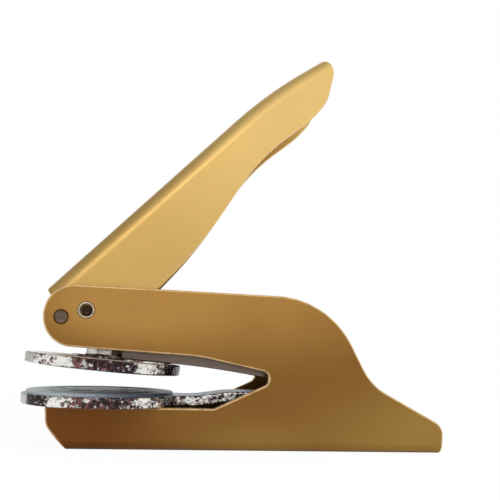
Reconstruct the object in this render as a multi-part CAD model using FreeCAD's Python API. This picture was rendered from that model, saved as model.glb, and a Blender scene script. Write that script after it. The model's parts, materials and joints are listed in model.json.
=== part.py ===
import FreeCAD, Part
import math
import os

from FreeCAD import Vector

# Hand press that embosses paper between two round dies.
#
# Frame, in millimetres: +Z up, +X from the dies towards the heel, +Y across the cheeks.
# The origin is on the axis of the lower die, at the underside of the base.
# The press is drawn open. The handle is drawn level about its pivot and then raised,
# and the upper jaw is drawn closed on the lower die and then lifted about its hinge.

# --- Motion ---
HANDLE_RAISED = 45.2      # angle of the open handle's back above level, degrees
HANDLE_SWING = 42.0       # how far the handle turns to close the dies, degrees
JAW_RATIO = 0.1           # turn of the upper jaw for each turn of the handle

# --- Body: one sheet folded into a channel with two cheeks ---
SHEET = 2.0               # thickness of the sheet
BODY_HEIGHT = 50.3        # from the base to the top edge of the cheeks, at the nose
BROW_FALL = 1.7           # how far that edge falls on its way to the rear
BODY_FOLD = 3.0           # outside radius of the folds along the base
BODY_BEVEL = 0.6          # bevel of the cheeks' outer edges
NOSE_FRONT = -18.0        # foremost point of the upper cheek
UPPER_JAW_EDGE = 31.35    # height of the upper cheek's lower edge at the nose
UPPER_JAW_FALL = 2.35     # how far that edge falls on its way to the shoulder
SHOULDER = 30.5           # X of the shoulder, where the edge turns down to the throat
THROAT = 57.9             # X where the jaws' edges would meet
THROAT_RISE = 10.45       # height of that point above the lower jaw's edge
LOWER_JAW_FRONT = -16.0   # foremost point of the lower cheek
LOWER_JAW_TOP = 13.0      # height of the edges that the lower plate rests on
LOWER_JAW_END = 35.6      # X where the lower jaw's edge turns up to the throat
BASE_FRONT = -9.5         # where the flat of the base starts
BASE_REAR = 110.0         # where it ends
BROW_SETBACK = 38.3       # from the base's rear end to where the top edge's line turns down
KNEE_SETBACK = 23.7       # from the rear end to where the steep line meets the heel's slope
KNEE_HEIGHT = 21.3
TAIL_HEIGHT = 8.6         # height of the heel at its tail

# --- Pins through the cheeks ---
PIVOT_SETBACK = 12.95     # the handle's pivot, behind the nose
PIVOT_DEPTH = 7.97        # and below the top of the nose
PIVOT_RADIUS = 2.5        # of the rivet that the handle turns on
PIVOT_LIP = 0.25          # how far its flared lips stand out, sideways and outwards
PIVOT_WALL = 0.55         # around the hollow in each of its ends
HOLLOW_DEPTH = 2.6
HOLLOW_CONE = 0.7         # depth of the hollow's pointed floor
STOP_SETBACK = 5.4        # the pin that the open handle rests on, behind the nose
STOP_DEPTH = 10.25        # and below the top of the nose
STOP_RADIUS = 2.1
STOP_BEVEL = 0.35
STOP_SUNK = 0.15          # how far its ends lie below the cheeks' faces
RUNNING = 0.04            # radial clearance of what turns on a pin
SNUG = 0.02               # radial clearance of what is fixed in a hole
SEAT_GAP = 0.05           # gap left between faces that bear on each other as they move

# --- Handle: one sheet folded into a channel that opens downwards ---
# Heights are above the pivot and lengths are from it, with the handle level.
HANDLE_WIDTH = 26.6
HANDLE_SHEET = 1.8
HANDLE_FOLD = 3.5         # outside radius of its folds
HANDLE_BEVEL = 0.35       # bevel of its walls' outer edges
HANDLE_LENGTH = 115.3     # to the tip
HANDLE_BACK = 13.55       # height of the back
NOSE_LENGTH = 22.5        # length over which the back droops to the tip
NOSE_DROOP = 4.55         # how far it droops
NOSE_BEND = 150.0         # radius of the bend where the droop starts
CHIN_HEIGHT = 4.0         # height of the corner under the tip
CHIN_RADIUS = 6.0
JOWL = (10.6, 2.75)       # where the chin meets the lower edge: back from the tip, and depth
JOWL_RADIUS = 12.0
BELLY = (18.9, 3.45)      # fullest point of the lower edge: back from the tip, and depth
BELLY_RADIUS = 36.0
WAIST = (40.8, 1.2)       # narrowest point of the grip: back from the tip, and depth
WAIST_RADIUS = 71.0
ROOT = (40.2, 9.33)       # where the grip widens to the root: from the pivot, and depth
ROOT_RADIUS = 150.0
CORNER = (8.0, 10.95)     # lower corner of the root: from the pivot, and depth
CORNER_RADIUS = 1.5
HUB_CORNER = (1.0, 7.95)  # where the root meets the rounded front: from the pivot, and depth
FRONT_RADIUS = 1.2        # rounding of the back's front end

# --- Cam between the handle's walls ---
CAM_DROP = 11.43          # from the pivot down to the pad, with the dies closed
CAM_WIDTH = 10.0          # of the lobe that pushes the jaw
CAM_OVERRUN = 3.0         # degrees of profile beyond the swing, at both ends
CAM_POINTS = 13           # stations that its curve is drawn through
CAM_TOE = 3.5             # length of the lobe beyond its last station
CAM_HUB_GAP = 0.3         # the block's front edge, behind the walls' front edge
CAM_TOP = 3.6             # height of the block above the pivot
CAM_HEEL = (1.0, 3.6)     # lengths behind the pivot where its hub ends and where its underside starts
CAM_REACH = 13.8          # and its length behind the pivot
CAM_DEPTH = 9.85          # and its depth below
CAM_ROUND = 2.0           # rounding of its corners
CAM_RIVET_RADIUS = 1.6
CAM_RIVETS = ((10.5, 5.3), (5.4, 7.3))  # from the pivot, and depth
BUSH_WALL = 0.7           # wall of both bushes
WASHER_THICKNESS = 0.6
WASHER_WIDTH = 1.7
WASHER_PLAY = 0.05        # on each side of a washer

# --- Lower jaw ---
DISC_RADIUS = 25.0        # of both die holders
DISC_THICKNESS = 3.3
DISC_BEVEL = 0.4
TONGUE_WIDTH = 16.0
TONGUE_FLAT = 1.0         # from the neck to where the tongue starts to rise
TONGUE_RISE = 1.6         # how far the tongue's joggle lifts its rear end
TONGUE_BEND = 15.0        # length of the joggle
TONGUE_PAD = 10.9         # length behind it, which lies on the rear post
NECK_RADIUS = 6.0         # rounding of the corners between disc and tongue
LOWER_DIE_BORDER = 1.6    # width of the lower holder's face around its die
UPPER_DIE_BORDER = 3.5
DIE_BEVEL = 0.3           # of the lower die's edge
DIE_CLEARANCE = 0.1
LOWER_DIE_SEAT = 0.6      # depth of the recess that the lower die sits in
LOWER_DIE_PROUD = 1.0
UPPER_DIE_SEAT = 0.9
UPPER_DIE_PROUD = 0.3
PAPER_GAP = 0.3           # between the dies when the press is closed
RELIEF = 0.3              # height of the raised figure on the lower die
RELIEF_CLEARANCE = 0.1    # around it in the upper die
RING_WIDTH = 0.7          # of the figure's two rings
RING_STEPS = (0.86, 0.76) # their radii, as shares of the die's
STAR_POINTS = 8
STAR_STEPS = (0.58, 0.28) # radii of the star's points and of its hollows, likewise

# --- Posts and screws under the lower plate ---
POST_RADIUS = 5.0
POST_FRONT = 14.0
SCREW_RADIUS = 1.5
SCREW_HEAD_RADIUS = 3.0
SCREW_DEPTH = 5.0

# --- Upper jaw ---
HINGE = (86.2, 16.0)      # X and Z of the jaw's hinge pin
LAND_HEIGHT = 0.55        # of the arm's raised seat on the upper disc's back
LAND_BORDER = 0.5         # how much wider than the arm it is, on each side
LAND_SETBACK = 3.0        # from the disc's edge to the seat's rear end
BOSS_RADIUS = 6.0
BOSS_FILLET = 0.8
FOOT_STEPS = 3            # facets of the boss's fillet
PAD_RADIUS = 4.5
PAD_THICKNESS = 1.6
PAD_PROUD = 0.8
ARM_THICKNESS = 3.4
ARM_LAP = 0.4             # how far the arm's front end reaches past the boss's rear
ARM_GAP = 0.1             # between the boss's fillet and the hollow cut in that end
ARM_CORNER = 0.8
EYE_WALL = 1.7            # of the rolled eye around the hinge bush
ARM_RIVET_RADIUS = 1.5
ARM_RIVET_HEAD = (2.7, 0.9)  # radius and height
ARM_RIVET_BORDER = 10.0   # from the disc's rear edge
ARM_RIVET_EDGE = 3.5      # from the arm's sides

# --- Hinge of the upper jaw, from the cheeks inwards ---
PIN_ROOM = 0.35           # between a cheek and the hinge pin's end
PIN_END = 0.6             # of the pin, beyond its clip
CLIP_THICKNESS = 0.6
CLIP_RADIUS = 3.6
CLIP_MOUTH = 2.4
CLIP_GROOVE = 0.4         # depth of the pin's grooves
EAR_SHEET = 2.0
EAR_RADIUS = 4.6
EAR_GAP = 0.4             # side play of the arm's eye between the ears
HINGE_PIN_RADIUS = 2.0
BRACKET_LENGTH = 18.0

# --- Spring that lifts the upper jaw ---
SPRING_SETBACK = 24.2     # in front of the hinge
SPRING_RADIUS = 3.9       # to the middle of its wire
SPRING_WIRE = 1.2
SPRING_SIDES = 8          # of the wire's section
SPRING_TURNS = 5
CUP_THICKNESS = 1.2
CUP_BORDER = 0.9          # of cup and saddle, around the spring
PEG_GAP = 0.7             # between the pegs and the coils
PEG_HEIGHT = 3.0
SADDLE_THICKNESS = 1.6    # of the spring's upper seat, at its thinnest

# --- Worked out from the sizes above ---
PIVOT = (NOSE_FRONT + PIVOT_SETBACK, BODY_HEIGHT - PIVOT_DEPTH)
STOP = (NOSE_FRONT + STOP_SETBACK, BODY_HEIGHT - STOP_DEPTH)
HANDLE_OUTER = HANDLE_WIDTH / 2
HANDLE_INNER = HANDLE_OUTER - HANDLE_SHEET
CHEEK_INNER = HANDLE_OUTER + WASHER_THICKNESS + 2 * WASHER_PLAY
CHEEK_OUTER = CHEEK_INNER + SHEET
JAW_OPEN = HANDLE_SWING * JAW_RATIO
LOWER_DIE_RADIUS = DISC_RADIUS - LOWER_DIE_BORDER
UPPER_DIE_RADIUS = DISC_RADIUS - UPPER_DIE_BORDER
PLATE_TOP = LOWER_JAW_TOP + DISC_THICKNESS
NECK_END = math.sqrt((DISC_RADIUS + NECK_RADIUS) ** 2 - (TONGUE_WIDTH / 2 + NECK_RADIUS) ** 2)
BEND_START = NECK_END + TONGUE_FLAT
BEND_END = BEND_START + TONGUE_BEND
TONGUE_END = BEND_END + TONGUE_PAD
POST_REAR = BEND_END + TONGUE_PAD / 2
LOWER_DIE_TOP = PLATE_TOP + LOWER_DIE_PROUD
UPPER_DIE_FACE = LOWER_DIE_TOP + PAPER_GAP
UPPER_DISC_BOTTOM = UPPER_DIE_FACE + UPPER_DIE_PROUD
UPPER_DISC_TOP = UPPER_DISC_BOTTOM + DISC_THICKNESS
LAND_TOP = UPPER_DISC_TOP + LAND_HEIGHT
PAD_TOP = PIVOT[1] - CAM_DROP
BOSS_TOP = PAD_TOP - PAD_PROUD
ARM_START = BOSS_RADIUS - ARM_LAP
ARM_FLAT = DISC_RADIUS - LAND_SETBACK
ARM_TOP = LAND_TOP + ARM_THICKNESS
ARM_MIDDLE = (LAND_TOP + ARM_TOP) / 2
ARM_DROP = ARM_MIDDLE - HINGE[1]
ARM_RUN = HINGE[0] - ARM_FLAT
ARM_CURVE = (ARM_RUN ** 2 + ARM_DROP ** 2) / (2 * ARM_DROP)
ARM_RIVET_X = DISC_RADIUS - ARM_RIVET_BORDER
PIVOT_BUSH_RADIUS = PIVOT_RADIUS + RUNNING + BUSH_WALL
HINGE_BUSH_RADIUS = HINGE_PIN_RADIUS + RUNNING + BUSH_WALL
EYE_RADIUS = HINGE_BUSH_RADIUS + EYE_WALL
PIN_TIP = CHEEK_INNER - PIN_ROOM
CLIP_OUTER = PIN_TIP - PIN_END
CLIP_INNER = CLIP_OUTER - CLIP_THICKNESS
EAR_OUTER = CLIP_INNER - SEAT_GAP
EAR_INNER = EAR_OUTER - EAR_SHEET
ARM_HALF = EAR_INNER - EAR_GAP
SPRING_X = HINGE[0] - SPRING_SETBACK
CUP_RADIUS = SPRING_RADIUS + SPRING_WIRE / 2 + CUP_BORDER
PEG_RADIUS = SPRING_RADIUS - SPRING_WIRE / 2 - PEG_GAP


# --- Drawing helpers ---
def rounded_wire(corners, place):
    """Closed wire through (a, b, radius) corners, each rounded by an arc of its radius."""
    count = len(corners)
    points = [Vector(a, b, 0) for a, b, radius in corners]
    ends = []
    for i, (a, b, radius) in enumerate(corners):
        into = (points[i] - points[i - 1]).normalize()
        away = (points[(i + 1) % count] - points[i]).normalize()
        turn = into.getAngle(away)
        reach = radius * math.tan(turn / 2)
        start = points[i] - into * reach
        end = points[i] + away * reach
        middle = None
        if reach > 1e-6:
            inwards = (away - into).normalize()
            middle = points[i] + inwards * radius * (1 / math.cos(turn / 2) - 1)
        ends.append((start, middle, end))
    edges = []
    for i, (start, middle, end) in enumerate(ends):
        if middle is not None:
            edges.append(Part.Arc(place(start), place(middle), place(end)).toShape())
        following = ends[(i + 1) % count][0]
        if end.distanceToPoint(following) > 1e-6:
            edges.append(Part.LineSegment(place(end), place(following)).toShape())
    return Part.Wire(edges)


def side_view(point):
    """Place a flat point in the XZ plane."""
    return Vector(point.x, 0, point.y)


def end_view(point):
    """Place a flat point in the YZ plane."""
    return Vector(0, point.x, point.y)


def across(wire, half_width):
    """Solid of a side outline, reaching half_width to both sides of the middle."""
    face = Part.Face(wire)
    face.translate(Vector(0, -half_width, 0))
    return face.extrude(Vector(0, 2 * half_width, 0))


def side_solid(corners, half_width):
    return across(rounded_wire(corners, side_view), half_width)


def inset(corners, distance):
    """The same outline, moved inwards by distance."""
    count = len(corners)
    points = [Vector(a, b, 0) for a, b, radius in corners]
    area = sum(points[i - 1].x * points[i].y - points[i].x * points[i - 1].y for i in range(count))
    side = 1 if area > 0 else -1
    moved = []
    for i, (a, b, radius) in enumerate(corners):
        into = (points[i] - points[i - 1]).normalize()
        away = (points[(i + 1) % count] - points[i]).normalize()
        left = Vector(-into.y, into.x, 0) * side
        right = Vector(-away.y, away.x, 0) * side
        point = points[i] + (left + right) * (distance / (1 + left.dot(right)))
        outward = side * (into.x * away.y - into.y * away.x) > 0
        new_radius = max(0.0, radius - distance) if outward else radius + distance
        moved.append((point.x, point.y, new_radius if radius else 0.0))
    return moved


def bevelled(corners, half_width, bevel):
    """Solid of a side outline whose edges are bevelled on both sides."""
    sections = []
    full = half_width - bevel
    for y, depth in ((-half_width, bevel), (-full, 0), (full, 0), (half_width, bevel)):
        wire = rounded_wire(inset(corners, depth) if depth else corners, side_view)
        wire.translate(Vector(0, y, 0))
        sections.append(wire)
    return Part.makeLoft(sections, True, True)


def upright(radius, x, y, low, high):
    return Part.makeCylinder(radius, high - low, Vector(x, y, low), Vector(0, 0, 1))


def crosswise(radius, centre, low, high):
    """Cylinder along Y about (x, z)."""
    return Part.makeCylinder(radius, high - low, Vector(centre[0], low, centre[1]), Vector(0, 1, 0))


def turned(profile, base, axis, flat):
    """Solid of revolution of an (out, along) profile about axis; flat points outwards."""
    points = [base + flat * out + axis * along for out, along in profile]
    face = Part.Face(Part.makePolygon(points + points[:1]))
    return face.revolve(base, axis, 360)


def turned_upright(profile, x, y):
    """Solid of revolution of a (radius, height) profile about an upright axis."""
    return turned(profile, Vector(x, y, 0), Vector(0, 0, 1), Vector(1, 0, 0))


def turned_crosswise(profile, centre):
    """Solid of revolution of a (radius, y) profile about an axis along Y."""
    return turned(profile, Vector(centre[0], 0, centre[1]), Vector(0, 1, 0), Vector(1, 0, 0))


def fuse(first, *others):
    return first.fuse(list(others)).removeSplitter()


def rounded(solid, radius, wanted):
    """Round the edges that wanted() picks."""
    edges = [edge for edge in solid.Edges if wanted(edge)]
    return solid.makeFillet(radius, edges)


def on_plane(edge, axis, value):
    """True when the whole edge lies where the coordinate named axis has this value."""
    box = edge.BoundBox
    low, high = {"Y": (box.YMin, box.YMax), "Z": (box.ZMin, box.ZMax)}[axis]
    return abs(low - value) < 1e-4 and abs(high - value) < 1e-4


def mirrored(solid):
    """Copy on the other side of the middle plane."""
    return solid.mirror(Vector(0, 0, 0), Vector(0, 1, 0))


def turn(x, z, degrees):
    """(x, z) turned about +Y, which carries +Z towards +X."""
    angle = math.radians(degrees)
    return (x * math.cos(angle) + z * math.sin(angle), z * math.cos(angle) - x * math.sin(angle))


def raised_handle(solid):
    """Move what is drawn level about the handle's pivot to its place in the open press."""
    solid.rotate(Vector(0, 0, 0), Vector(0, 1, 0), -HANDLE_RAISED)
    solid.translate(Vector(PIVOT[0], 0, PIVOT[1]))
    return solid


def lifted_jaw(solid):
    """Move what is drawn with the upper jaw closed to its place in the open press."""
    solid.rotate(Vector(HINGE[0], 0, HINGE[1]), Vector(0, 1, 0), JAW_OPEN)
    return solid


def export(node, *solids):
    shape = solids[0] if len(solids) == 1 else Part.makeCompound(list(solids))
    shape.exportStep("parts/" + node + ".step")


# --- Body ---
def cheek_corners():
    """Side outline of the cheeks, from the base's front corner round the throat to the heel."""
    nose = 0.49 * (BODY_HEIGHT - UPPER_JAW_EDGE)
    tail = BASE_REAR + 0.4
    return [
        (BASE_FRONT, 0, 0),
        (LOWER_JAW_FRONT + 0.5, LOWER_JAW_TOP * 0.55, 5.0),
        (LOWER_JAW_FRONT, LOWER_JAW_TOP, 0.9),
        (LOWER_JAW_END, LOWER_JAW_TOP, 1.0),
        (THROAT, LOWER_JAW_TOP + THROAT_RISE, 2.4),
        (SHOULDER, UPPER_JAW_EDGE - UPPER_JAW_FALL, 60.0),
        (NOSE_FRONT, UPPER_JAW_EDGE, nose),
        (NOSE_FRONT, BODY_HEIGHT, nose),
        (BASE_REAR - BROW_SETBACK, BODY_HEIGHT - BROW_FALL, 28.6),
        (BASE_REAR - KNEE_SETBACK, KNEE_HEIGHT, 19.0),
        (tail, TAIL_HEIGHT, 4.5),
        (BASE_REAR, 0, 1.8),
    ]


def body_frame():
    half = CHEEK_OUTER
    high = 2 * BODY_HEIGHT
    inner = BODY_FOLD - SHEET
    section = rounded_wire([
        (-half, high, 0),
        (-half, 0, BODY_FOLD),
        (half, 0, BODY_FOLD),
        (half, high, 0),
        (CHEEK_INNER, high, 0),
        (CHEEK_INNER, SHEET, inner),
        (-CHEEK_INNER, SHEET, inner),
        (-CHEEK_INNER, high, 0),
    ], end_view)
    channel = Part.Face(section).extrude(Vector(2 * (BASE_REAR - NOSE_FRONT), 0, 0))
    channel.translate(Vector(2 * NOSE_FRONT, 0, 0))
    body = channel.common(bevelled(cheek_corners(), half, BODY_BEVEL))
    body = body.cut(crosswise(PIVOT_RADIUS + SNUG, PIVOT, -half, half))
    hole = STOP_RADIUS + SNUG
    mouth = hole + STOP_BEVEL
    stop_hole = turned_crosswise([
        (0, -half), (mouth, -half), (hole, STOP_BEVEL - half),
        (hole, half - STOP_BEVEL), (mouth, half), (0, half),
    ], STOP)
    body = body.cut(stop_hole)
    for x in (POST_FRONT, POST_REAR):
        body = body.cut(base_screw(x, SNUG))
    return body


def base_screw(x, clearance=0.0):
    """Countersunk screw that comes up through the base into a post."""
    return countersunk(x, 0.0, 1, clearance)


def plate_screw(x, top, clearance=0.0):
    """Countersunk screw that goes down through the lower plate into a post."""
    return countersunk(x, top, -1, clearance)


def countersunk(x, face, way, clearance):
    shank = SCREW_RADIUS + clearance
    head = SCREW_HEAD_RADIUS + clearance
    sink = head - shank
    tip = SCREW_DEPTH + clearance
    profile = [(0, 0), (head, 0), (shank, sink), (shank, tip), (0, tip)]
    return turned_upright([(r, face + way * z) for r, z in profile], x, 0)


def pivot_rivet():
    """Rivet with a hollow in each end and a lip flared over each cheek."""
    bore = PIVOT_RADIUS - PIVOT_WALL
    lip = PIVOT_RADIUS + PIVOT_LIP
    half = CHEEK_OUTER
    tip = half + PIVOT_LIP
    floor = tip - HOLLOW_DEPTH
    end = [
        (0, floor - HOLLOW_CONE),
        (bore, floor),
        (bore, tip),
        (lip - PIVOT_LIP / 2, tip),
        (lip, tip - PIVOT_LIP / 2),
        (lip, half),
        (PIVOT_RADIUS, half),
    ]
    return turned_crosswise(end + [(radius, -y) for radius, y in reversed(end)], PIVOT)


def stop_pin():
    half = CHEEK_OUTER - STOP_SUNK
    face = STOP_RADIUS - STOP_BEVEL
    return turned_crosswise([
        (0, -half), (face, -half), (STOP_RADIUS, STOP_BEVEL - half),
        (STOP_RADIUS, half - STOP_BEVEL), (face, half), (0, half),
    ], STOP)


def pivot_washer():
    """Washer between a cheek and the handle's wall, on the -Y side."""
    low = WASHER_PLAY - CHEEK_INNER
    ring = crosswise(PIVOT_RADIUS + WASHER_WIDTH, PIVOT, low, low + WASHER_THICKNESS)
    return ring.cut(crosswise(PIVOT_RADIUS + SNUG, PIVOT, low, low + WASHER_THICKNESS))


# --- Handle, drawn level about its pivot ---
def handle_front():
    """X of the walls' front edge, which rests on the stop pin when the press is open."""
    stop_x, stop_z = turn(STOP[0] - PIVOT[0], STOP[1] - PIVOT[1], HANDLE_RAISED)
    return stop_x + STOP_RADIUS + SEAT_GAP


def handle_corners():
    """Side outline of the handle."""
    front = handle_front()
    return [
        (front, HANDLE_BACK, FRONT_RADIUS),
        (HANDLE_LENGTH - NOSE_LENGTH, HANDLE_BACK, NOSE_BEND),
        (HANDLE_LENGTH, HANDLE_BACK - NOSE_DROOP, 1.2),
        (HANDLE_LENGTH, CHIN_HEIGHT, CHIN_RADIUS),
        (HANDLE_LENGTH - JOWL[0], -JOWL[1], JOWL_RADIUS),
        (HANDLE_LENGTH - BELLY[0], -BELLY[1], BELLY_RADIUS),
        (HANDLE_LENGTH - WAIST[0], -WAIST[1], WAIST_RADIUS),
        (ROOT[0], -ROOT[1], ROOT_RADIUS),
        (CORNER[0], -CORNER[1], CORNER_RADIUS),
        (HUB_CORNER[0], -HUB_CORNER[1], 2.0),
        (front, front, -front),
    ]


def handle_blank(skin):
    """Everything under the handle's back and between its walls, a skin's thickness in."""
    front = handle_front() - HANDLE_WIDTH
    tip = HANDLE_LENGTH + HANDLE_WIDTH
    back = HANDLE_BACK - skin
    slope = NOSE_DROOP / NOSE_LENGTH
    end = back - slope * (NOSE_LENGTH + HANDLE_WIDTH)
    deep = -2 * HANDLE_WIDTH
    half = HANDLE_OUTER - skin
    corners = [
        (front, back, 0),
        (HANDLE_LENGTH - NOSE_LENGTH, back, NOSE_BEND),
        (tip, end, 0),
        (tip, deep, 0),
        (front, deep, 0),
    ]
    blank = side_solid(corners, half)
    return rounded(blank, HANDLE_FOLD - skin, lambda edge: on_back(edge, half, end))


def on_back(edge, half_width, lowest):
    """True for the long edges between a blank's back and its walls."""
    beside = any(on_plane(edge, "Y", side * half_width) for side in (-1, 1))
    box = edge.BoundBox
    return beside and box.ZMin > lowest - 0.1 and box.XMax - box.XMin > 1


def handle_shell():
    sheet = handle_blank(0).cut(handle_blank(HANDLE_SHEET))
    shell = sheet.common(bevelled(handle_corners(), HANDLE_OUTER, HANDLE_BEVEL))
    shell = shell.cut(crosswise(PIVOT_BUSH_RADIUS, (0, 0), -HANDLE_OUTER, HANDLE_OUTER))
    for place in cam_rivet_places():
        shell = shell.cut(crosswise(CAM_RIVET_RADIUS, place, -HANDLE_OUTER, HANDLE_OUTER))
    return raised_handle(shell)


def cam_rivet_places():
    return [(along, -depth) for along, depth in CAM_RIVETS]


def cam_contact(swing):
    """Point where the cam bears on the pad, level handle frame, after swing degrees.

    Handle and jaw turn against each other at a fixed ratio, so they roll on each other
    at a pitch point on the line between their pivots. A flat pad is touched where the
    perpendicular from the pitch point meets it.
    """
    span_x = HINGE[0] - PIVOT[0]
    span_z = HINGE[1] - PIVOT[1]
    share = JAW_RATIO / (1 + JAW_RATIO)
    pitch_x = PIVOT[0] + share * span_x
    pitch_z = PIVOT[1] + share * span_z
    normal_x, normal_z = turn(0, 1, JAW_OPEN - JAW_RATIO * swing)
    pad = PAD_TOP - HINGE[1] + SEAT_GAP
    above = normal_x * (pitch_x - HINGE[0]) + normal_z * (pitch_z - HINGE[1]) - pad
    touch_x = pitch_x - above * normal_x - PIVOT[0]
    touch_z = pitch_z - above * normal_z - PIVOT[1]
    return turn(touch_x, touch_z, HANDLE_RAISED - swing)


def cam_block():
    """Cam riveted between the handle's walls, with a narrower lobe for the pad."""
    first = -CAM_OVERRUN
    step = (HANDLE_SWING + 2 * CAM_OVERRUN) / (CAM_POINTS - 1)
    stations = [cam_contact(first + step * i) for i in range(CAM_POINTS)]
    points = [Vector(x, 0, z) for x, z in stations]
    curve = Part.BSplineCurve()
    curve.interpolate(points)
    toe = points[-1] + Vector(CAM_TOE, 0, CAM_TOE)
    root = Vector(points[0].x, 0, points[0].z / 3)
    lines = Part.makePolygon([points[-1], toe, root, points[0]])
    lobe = across(Part.Wire([curve.toShape()] + lines.Edges), CAM_WIDTH / 2)
    front = handle_front() + CAM_HUB_GAP
    block = side_solid([
        (front, CAM_TOP, CAM_ROUND),
        (front, front, -front),
        (CAM_HEEL[0], front, CAM_ROUND / 2),
        (CAM_HEEL[1], -CAM_DEPTH, CAM_ROUND / 2),
        (CAM_REACH, -CAM_DEPTH, CAM_ROUND),
        (CAM_REACH, CAM_TOP, CAM_ROUND),
    ], HANDLE_INNER)
    block = fuse(block, lobe)
    block = block.cut(crosswise(PIVOT_BUSH_RADIUS, (0, 0), -HANDLE_INNER, HANDLE_INNER))
    for place in cam_rivet_places():
        block = block.cut(crosswise(CAM_RIVET_RADIUS, place, -HANDLE_INNER, HANDLE_INNER))
    return raised_handle(block)


def cam_rivets():
    return [raised_handle(crosswise(CAM_RIVET_RADIUS, place, -HANDLE_OUTER, HANDLE_OUTER))
            for place in cam_rivet_places()]


def pivot_bush():
    sleeve = crosswise(PIVOT_BUSH_RADIUS, (0, 0), -HANDLE_OUTER, HANDLE_OUTER)
    bore = crosswise(PIVOT_RADIUS + RUNNING, (0, 0), -HANDLE_OUTER, HANDLE_OUTER)
    return raised_handle(sleeve.cut(bore))


# --- Lower jaw ---
def tongue_corners():
    """Side outline of the tongue, with the joggle that lifts its rear end."""
    quarter = TONGUE_BEND / 4
    slope = math.atan(2 * TONGUE_RISE / TONGUE_BEND)
    radius = quarter / math.tan(slope / 2)
    low = LOWER_JAW_TOP
    high = PLATE_TOP
    return [
        (DISC_RADIUS, low, 0),
        (BEND_START + quarter, low, radius),
        (BEND_END - quarter, low + TONGUE_RISE, radius),
        (TONGUE_END, low + TONGUE_RISE, 0),
        (TONGUE_END, high + TONGUE_RISE, 0),
        (BEND_END - quarter, high + TONGUE_RISE, radius),
        (BEND_START + quarter, high, radius),
        (DISC_RADIUS, high, 0),
    ]


def plate_plan(depth, level):
    """Outline of the disc with its neck and a straight run of tongue, depth within the edge."""
    disc = DISC_RADIUS - depth
    half = TONGUE_WIDTH / 2 - depth
    neck = NECK_RADIUS + depth
    neck_x = NECK_END
    end = (BEND_START + neck_x) / 2
    share = disc / (disc + neck)
    touch = (neck_x * share, (half + neck) * share)
    bisect = math.atan2(-half - neck, -neck_x) / 2 + math.pi * 0.25
    middle = (neck_x + neck * math.cos(bisect - math.pi), half + neck + neck * math.sin(bisect - math.pi))

    def at(x, y):
        return Vector(x, y, level)

    return Part.Wire([
        Part.Arc(at(touch[0], touch[1]), at(-disc, 0), at(touch[0], -touch[1])).toShape(),
        Part.Arc(at(touch[0], -touch[1]), at(middle[0], -middle[1]), at(neck_x, -half)).toShape(),
        Part.LineSegment(at(neck_x, -half), at(end, -half)).toShape(),
        Part.LineSegment(at(end, -half), at(end, half)).toShape(),
        Part.LineSegment(at(end, half), at(neck_x, half)).toShape(),
        Part.Arc(at(neck_x, half), at(middle[0], middle[1]), at(touch[0], touch[1])).toShape(),
    ])


def lower_plate():
    low = LOWER_JAW_TOP
    high = PLATE_TOP
    bevel = DISC_BEVEL
    levels = ((bevel, low), (0, low + bevel), (0, high - bevel), (bevel, high))
    sections = [plate_plan(depth, level) for depth, level in levels]
    disc = Part.makeLoft(sections, True, True)
    tongue = bevelled(tongue_corners(), TONGUE_WIDTH / 2, bevel)
    plate = fuse(disc, tongue)
    plate = plate.cut(upright(LOWER_DIE_RADIUS + DIE_CLEARANCE, 0, 0, high - LOWER_DIE_SEAT, high + 1))
    for x, top in plate_screw_places():
        plate = plate.cut(plate_screw(x, top, SNUG))
    return plate


def plate_screw_places():
    """X and head height of the two screws through the lower plate."""
    return ((POST_FRONT, PLATE_TOP - LOWER_DIE_SEAT), (POST_REAR, PLATE_TOP + TONGUE_RISE))


def support_posts():
    posts = []
    for x, top in ((POST_FRONT, LOWER_JAW_TOP), (POST_REAR, LOWER_JAW_TOP + TONGUE_RISE)):
        post = upright(POST_RADIUS, x, 0, SHEET, top)
        post = post.cut(upright(SCREW_RADIUS + SNUG, x, 0, SHEET, top))
        posts.append(post)
    return posts


def star(outer, inner, low, high):
    points = []
    for i in range(2 * STAR_POINTS):
        radius = outer if i % 2 == 0 else inner
        angle = math.pi * i / STAR_POINTS
        points.append(Vector(radius * math.cos(angle), radius * math.sin(angle), low))
    face = Part.Face(Part.makePolygon(points + points[:1]))
    return face.extrude(Vector(0, 0, high - low))


def figure(low, high, grow=0.0):
    """The two rings and the star that the dies press into paper."""
    outer, inner = [UPPER_DIE_RADIUS * step for step in STAR_STEPS]
    solids = [star(outer + 2 * grow, inner + grow, low, high)]
    for radius in [UPPER_DIE_RADIUS * step for step in RING_STEPS]:
        ring = upright(radius + grow, 0, 0, low, high)
        solids.append(ring.cut(upright(radius - RING_WIDTH - grow, 0, 0, low, high)))
    return solids


def lower_die():
    disc = turned_upright([
        (0, PLATE_TOP - LOWER_DIE_SEAT),
        (LOWER_DIE_RADIUS, PLATE_TOP - LOWER_DIE_SEAT),
        (LOWER_DIE_RADIUS, LOWER_DIE_TOP - DIE_BEVEL),
        (LOWER_DIE_RADIUS - DIE_BEVEL, LOWER_DIE_TOP),
        (0, LOWER_DIE_TOP),
    ], 0, 0)
    return fuse(disc, *figure(LOWER_DIE_TOP - 0.1, LOWER_DIE_TOP + RELIEF))


# --- Upper jaw, drawn closed ---
def boss_foot():
    """Profile of the hollow corner around the boss, from the arm's seat up."""
    angles = [math.radians(90.0 * i / FOOT_STEPS) for i in range(FOOT_STEPS + 1)]
    return [(BOSS_RADIUS + BOSS_FILLET * (1 - math.sin(a)), LAND_TOP + BOSS_FILLET * (1 - math.cos(a)))
            for a in angles]


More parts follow.
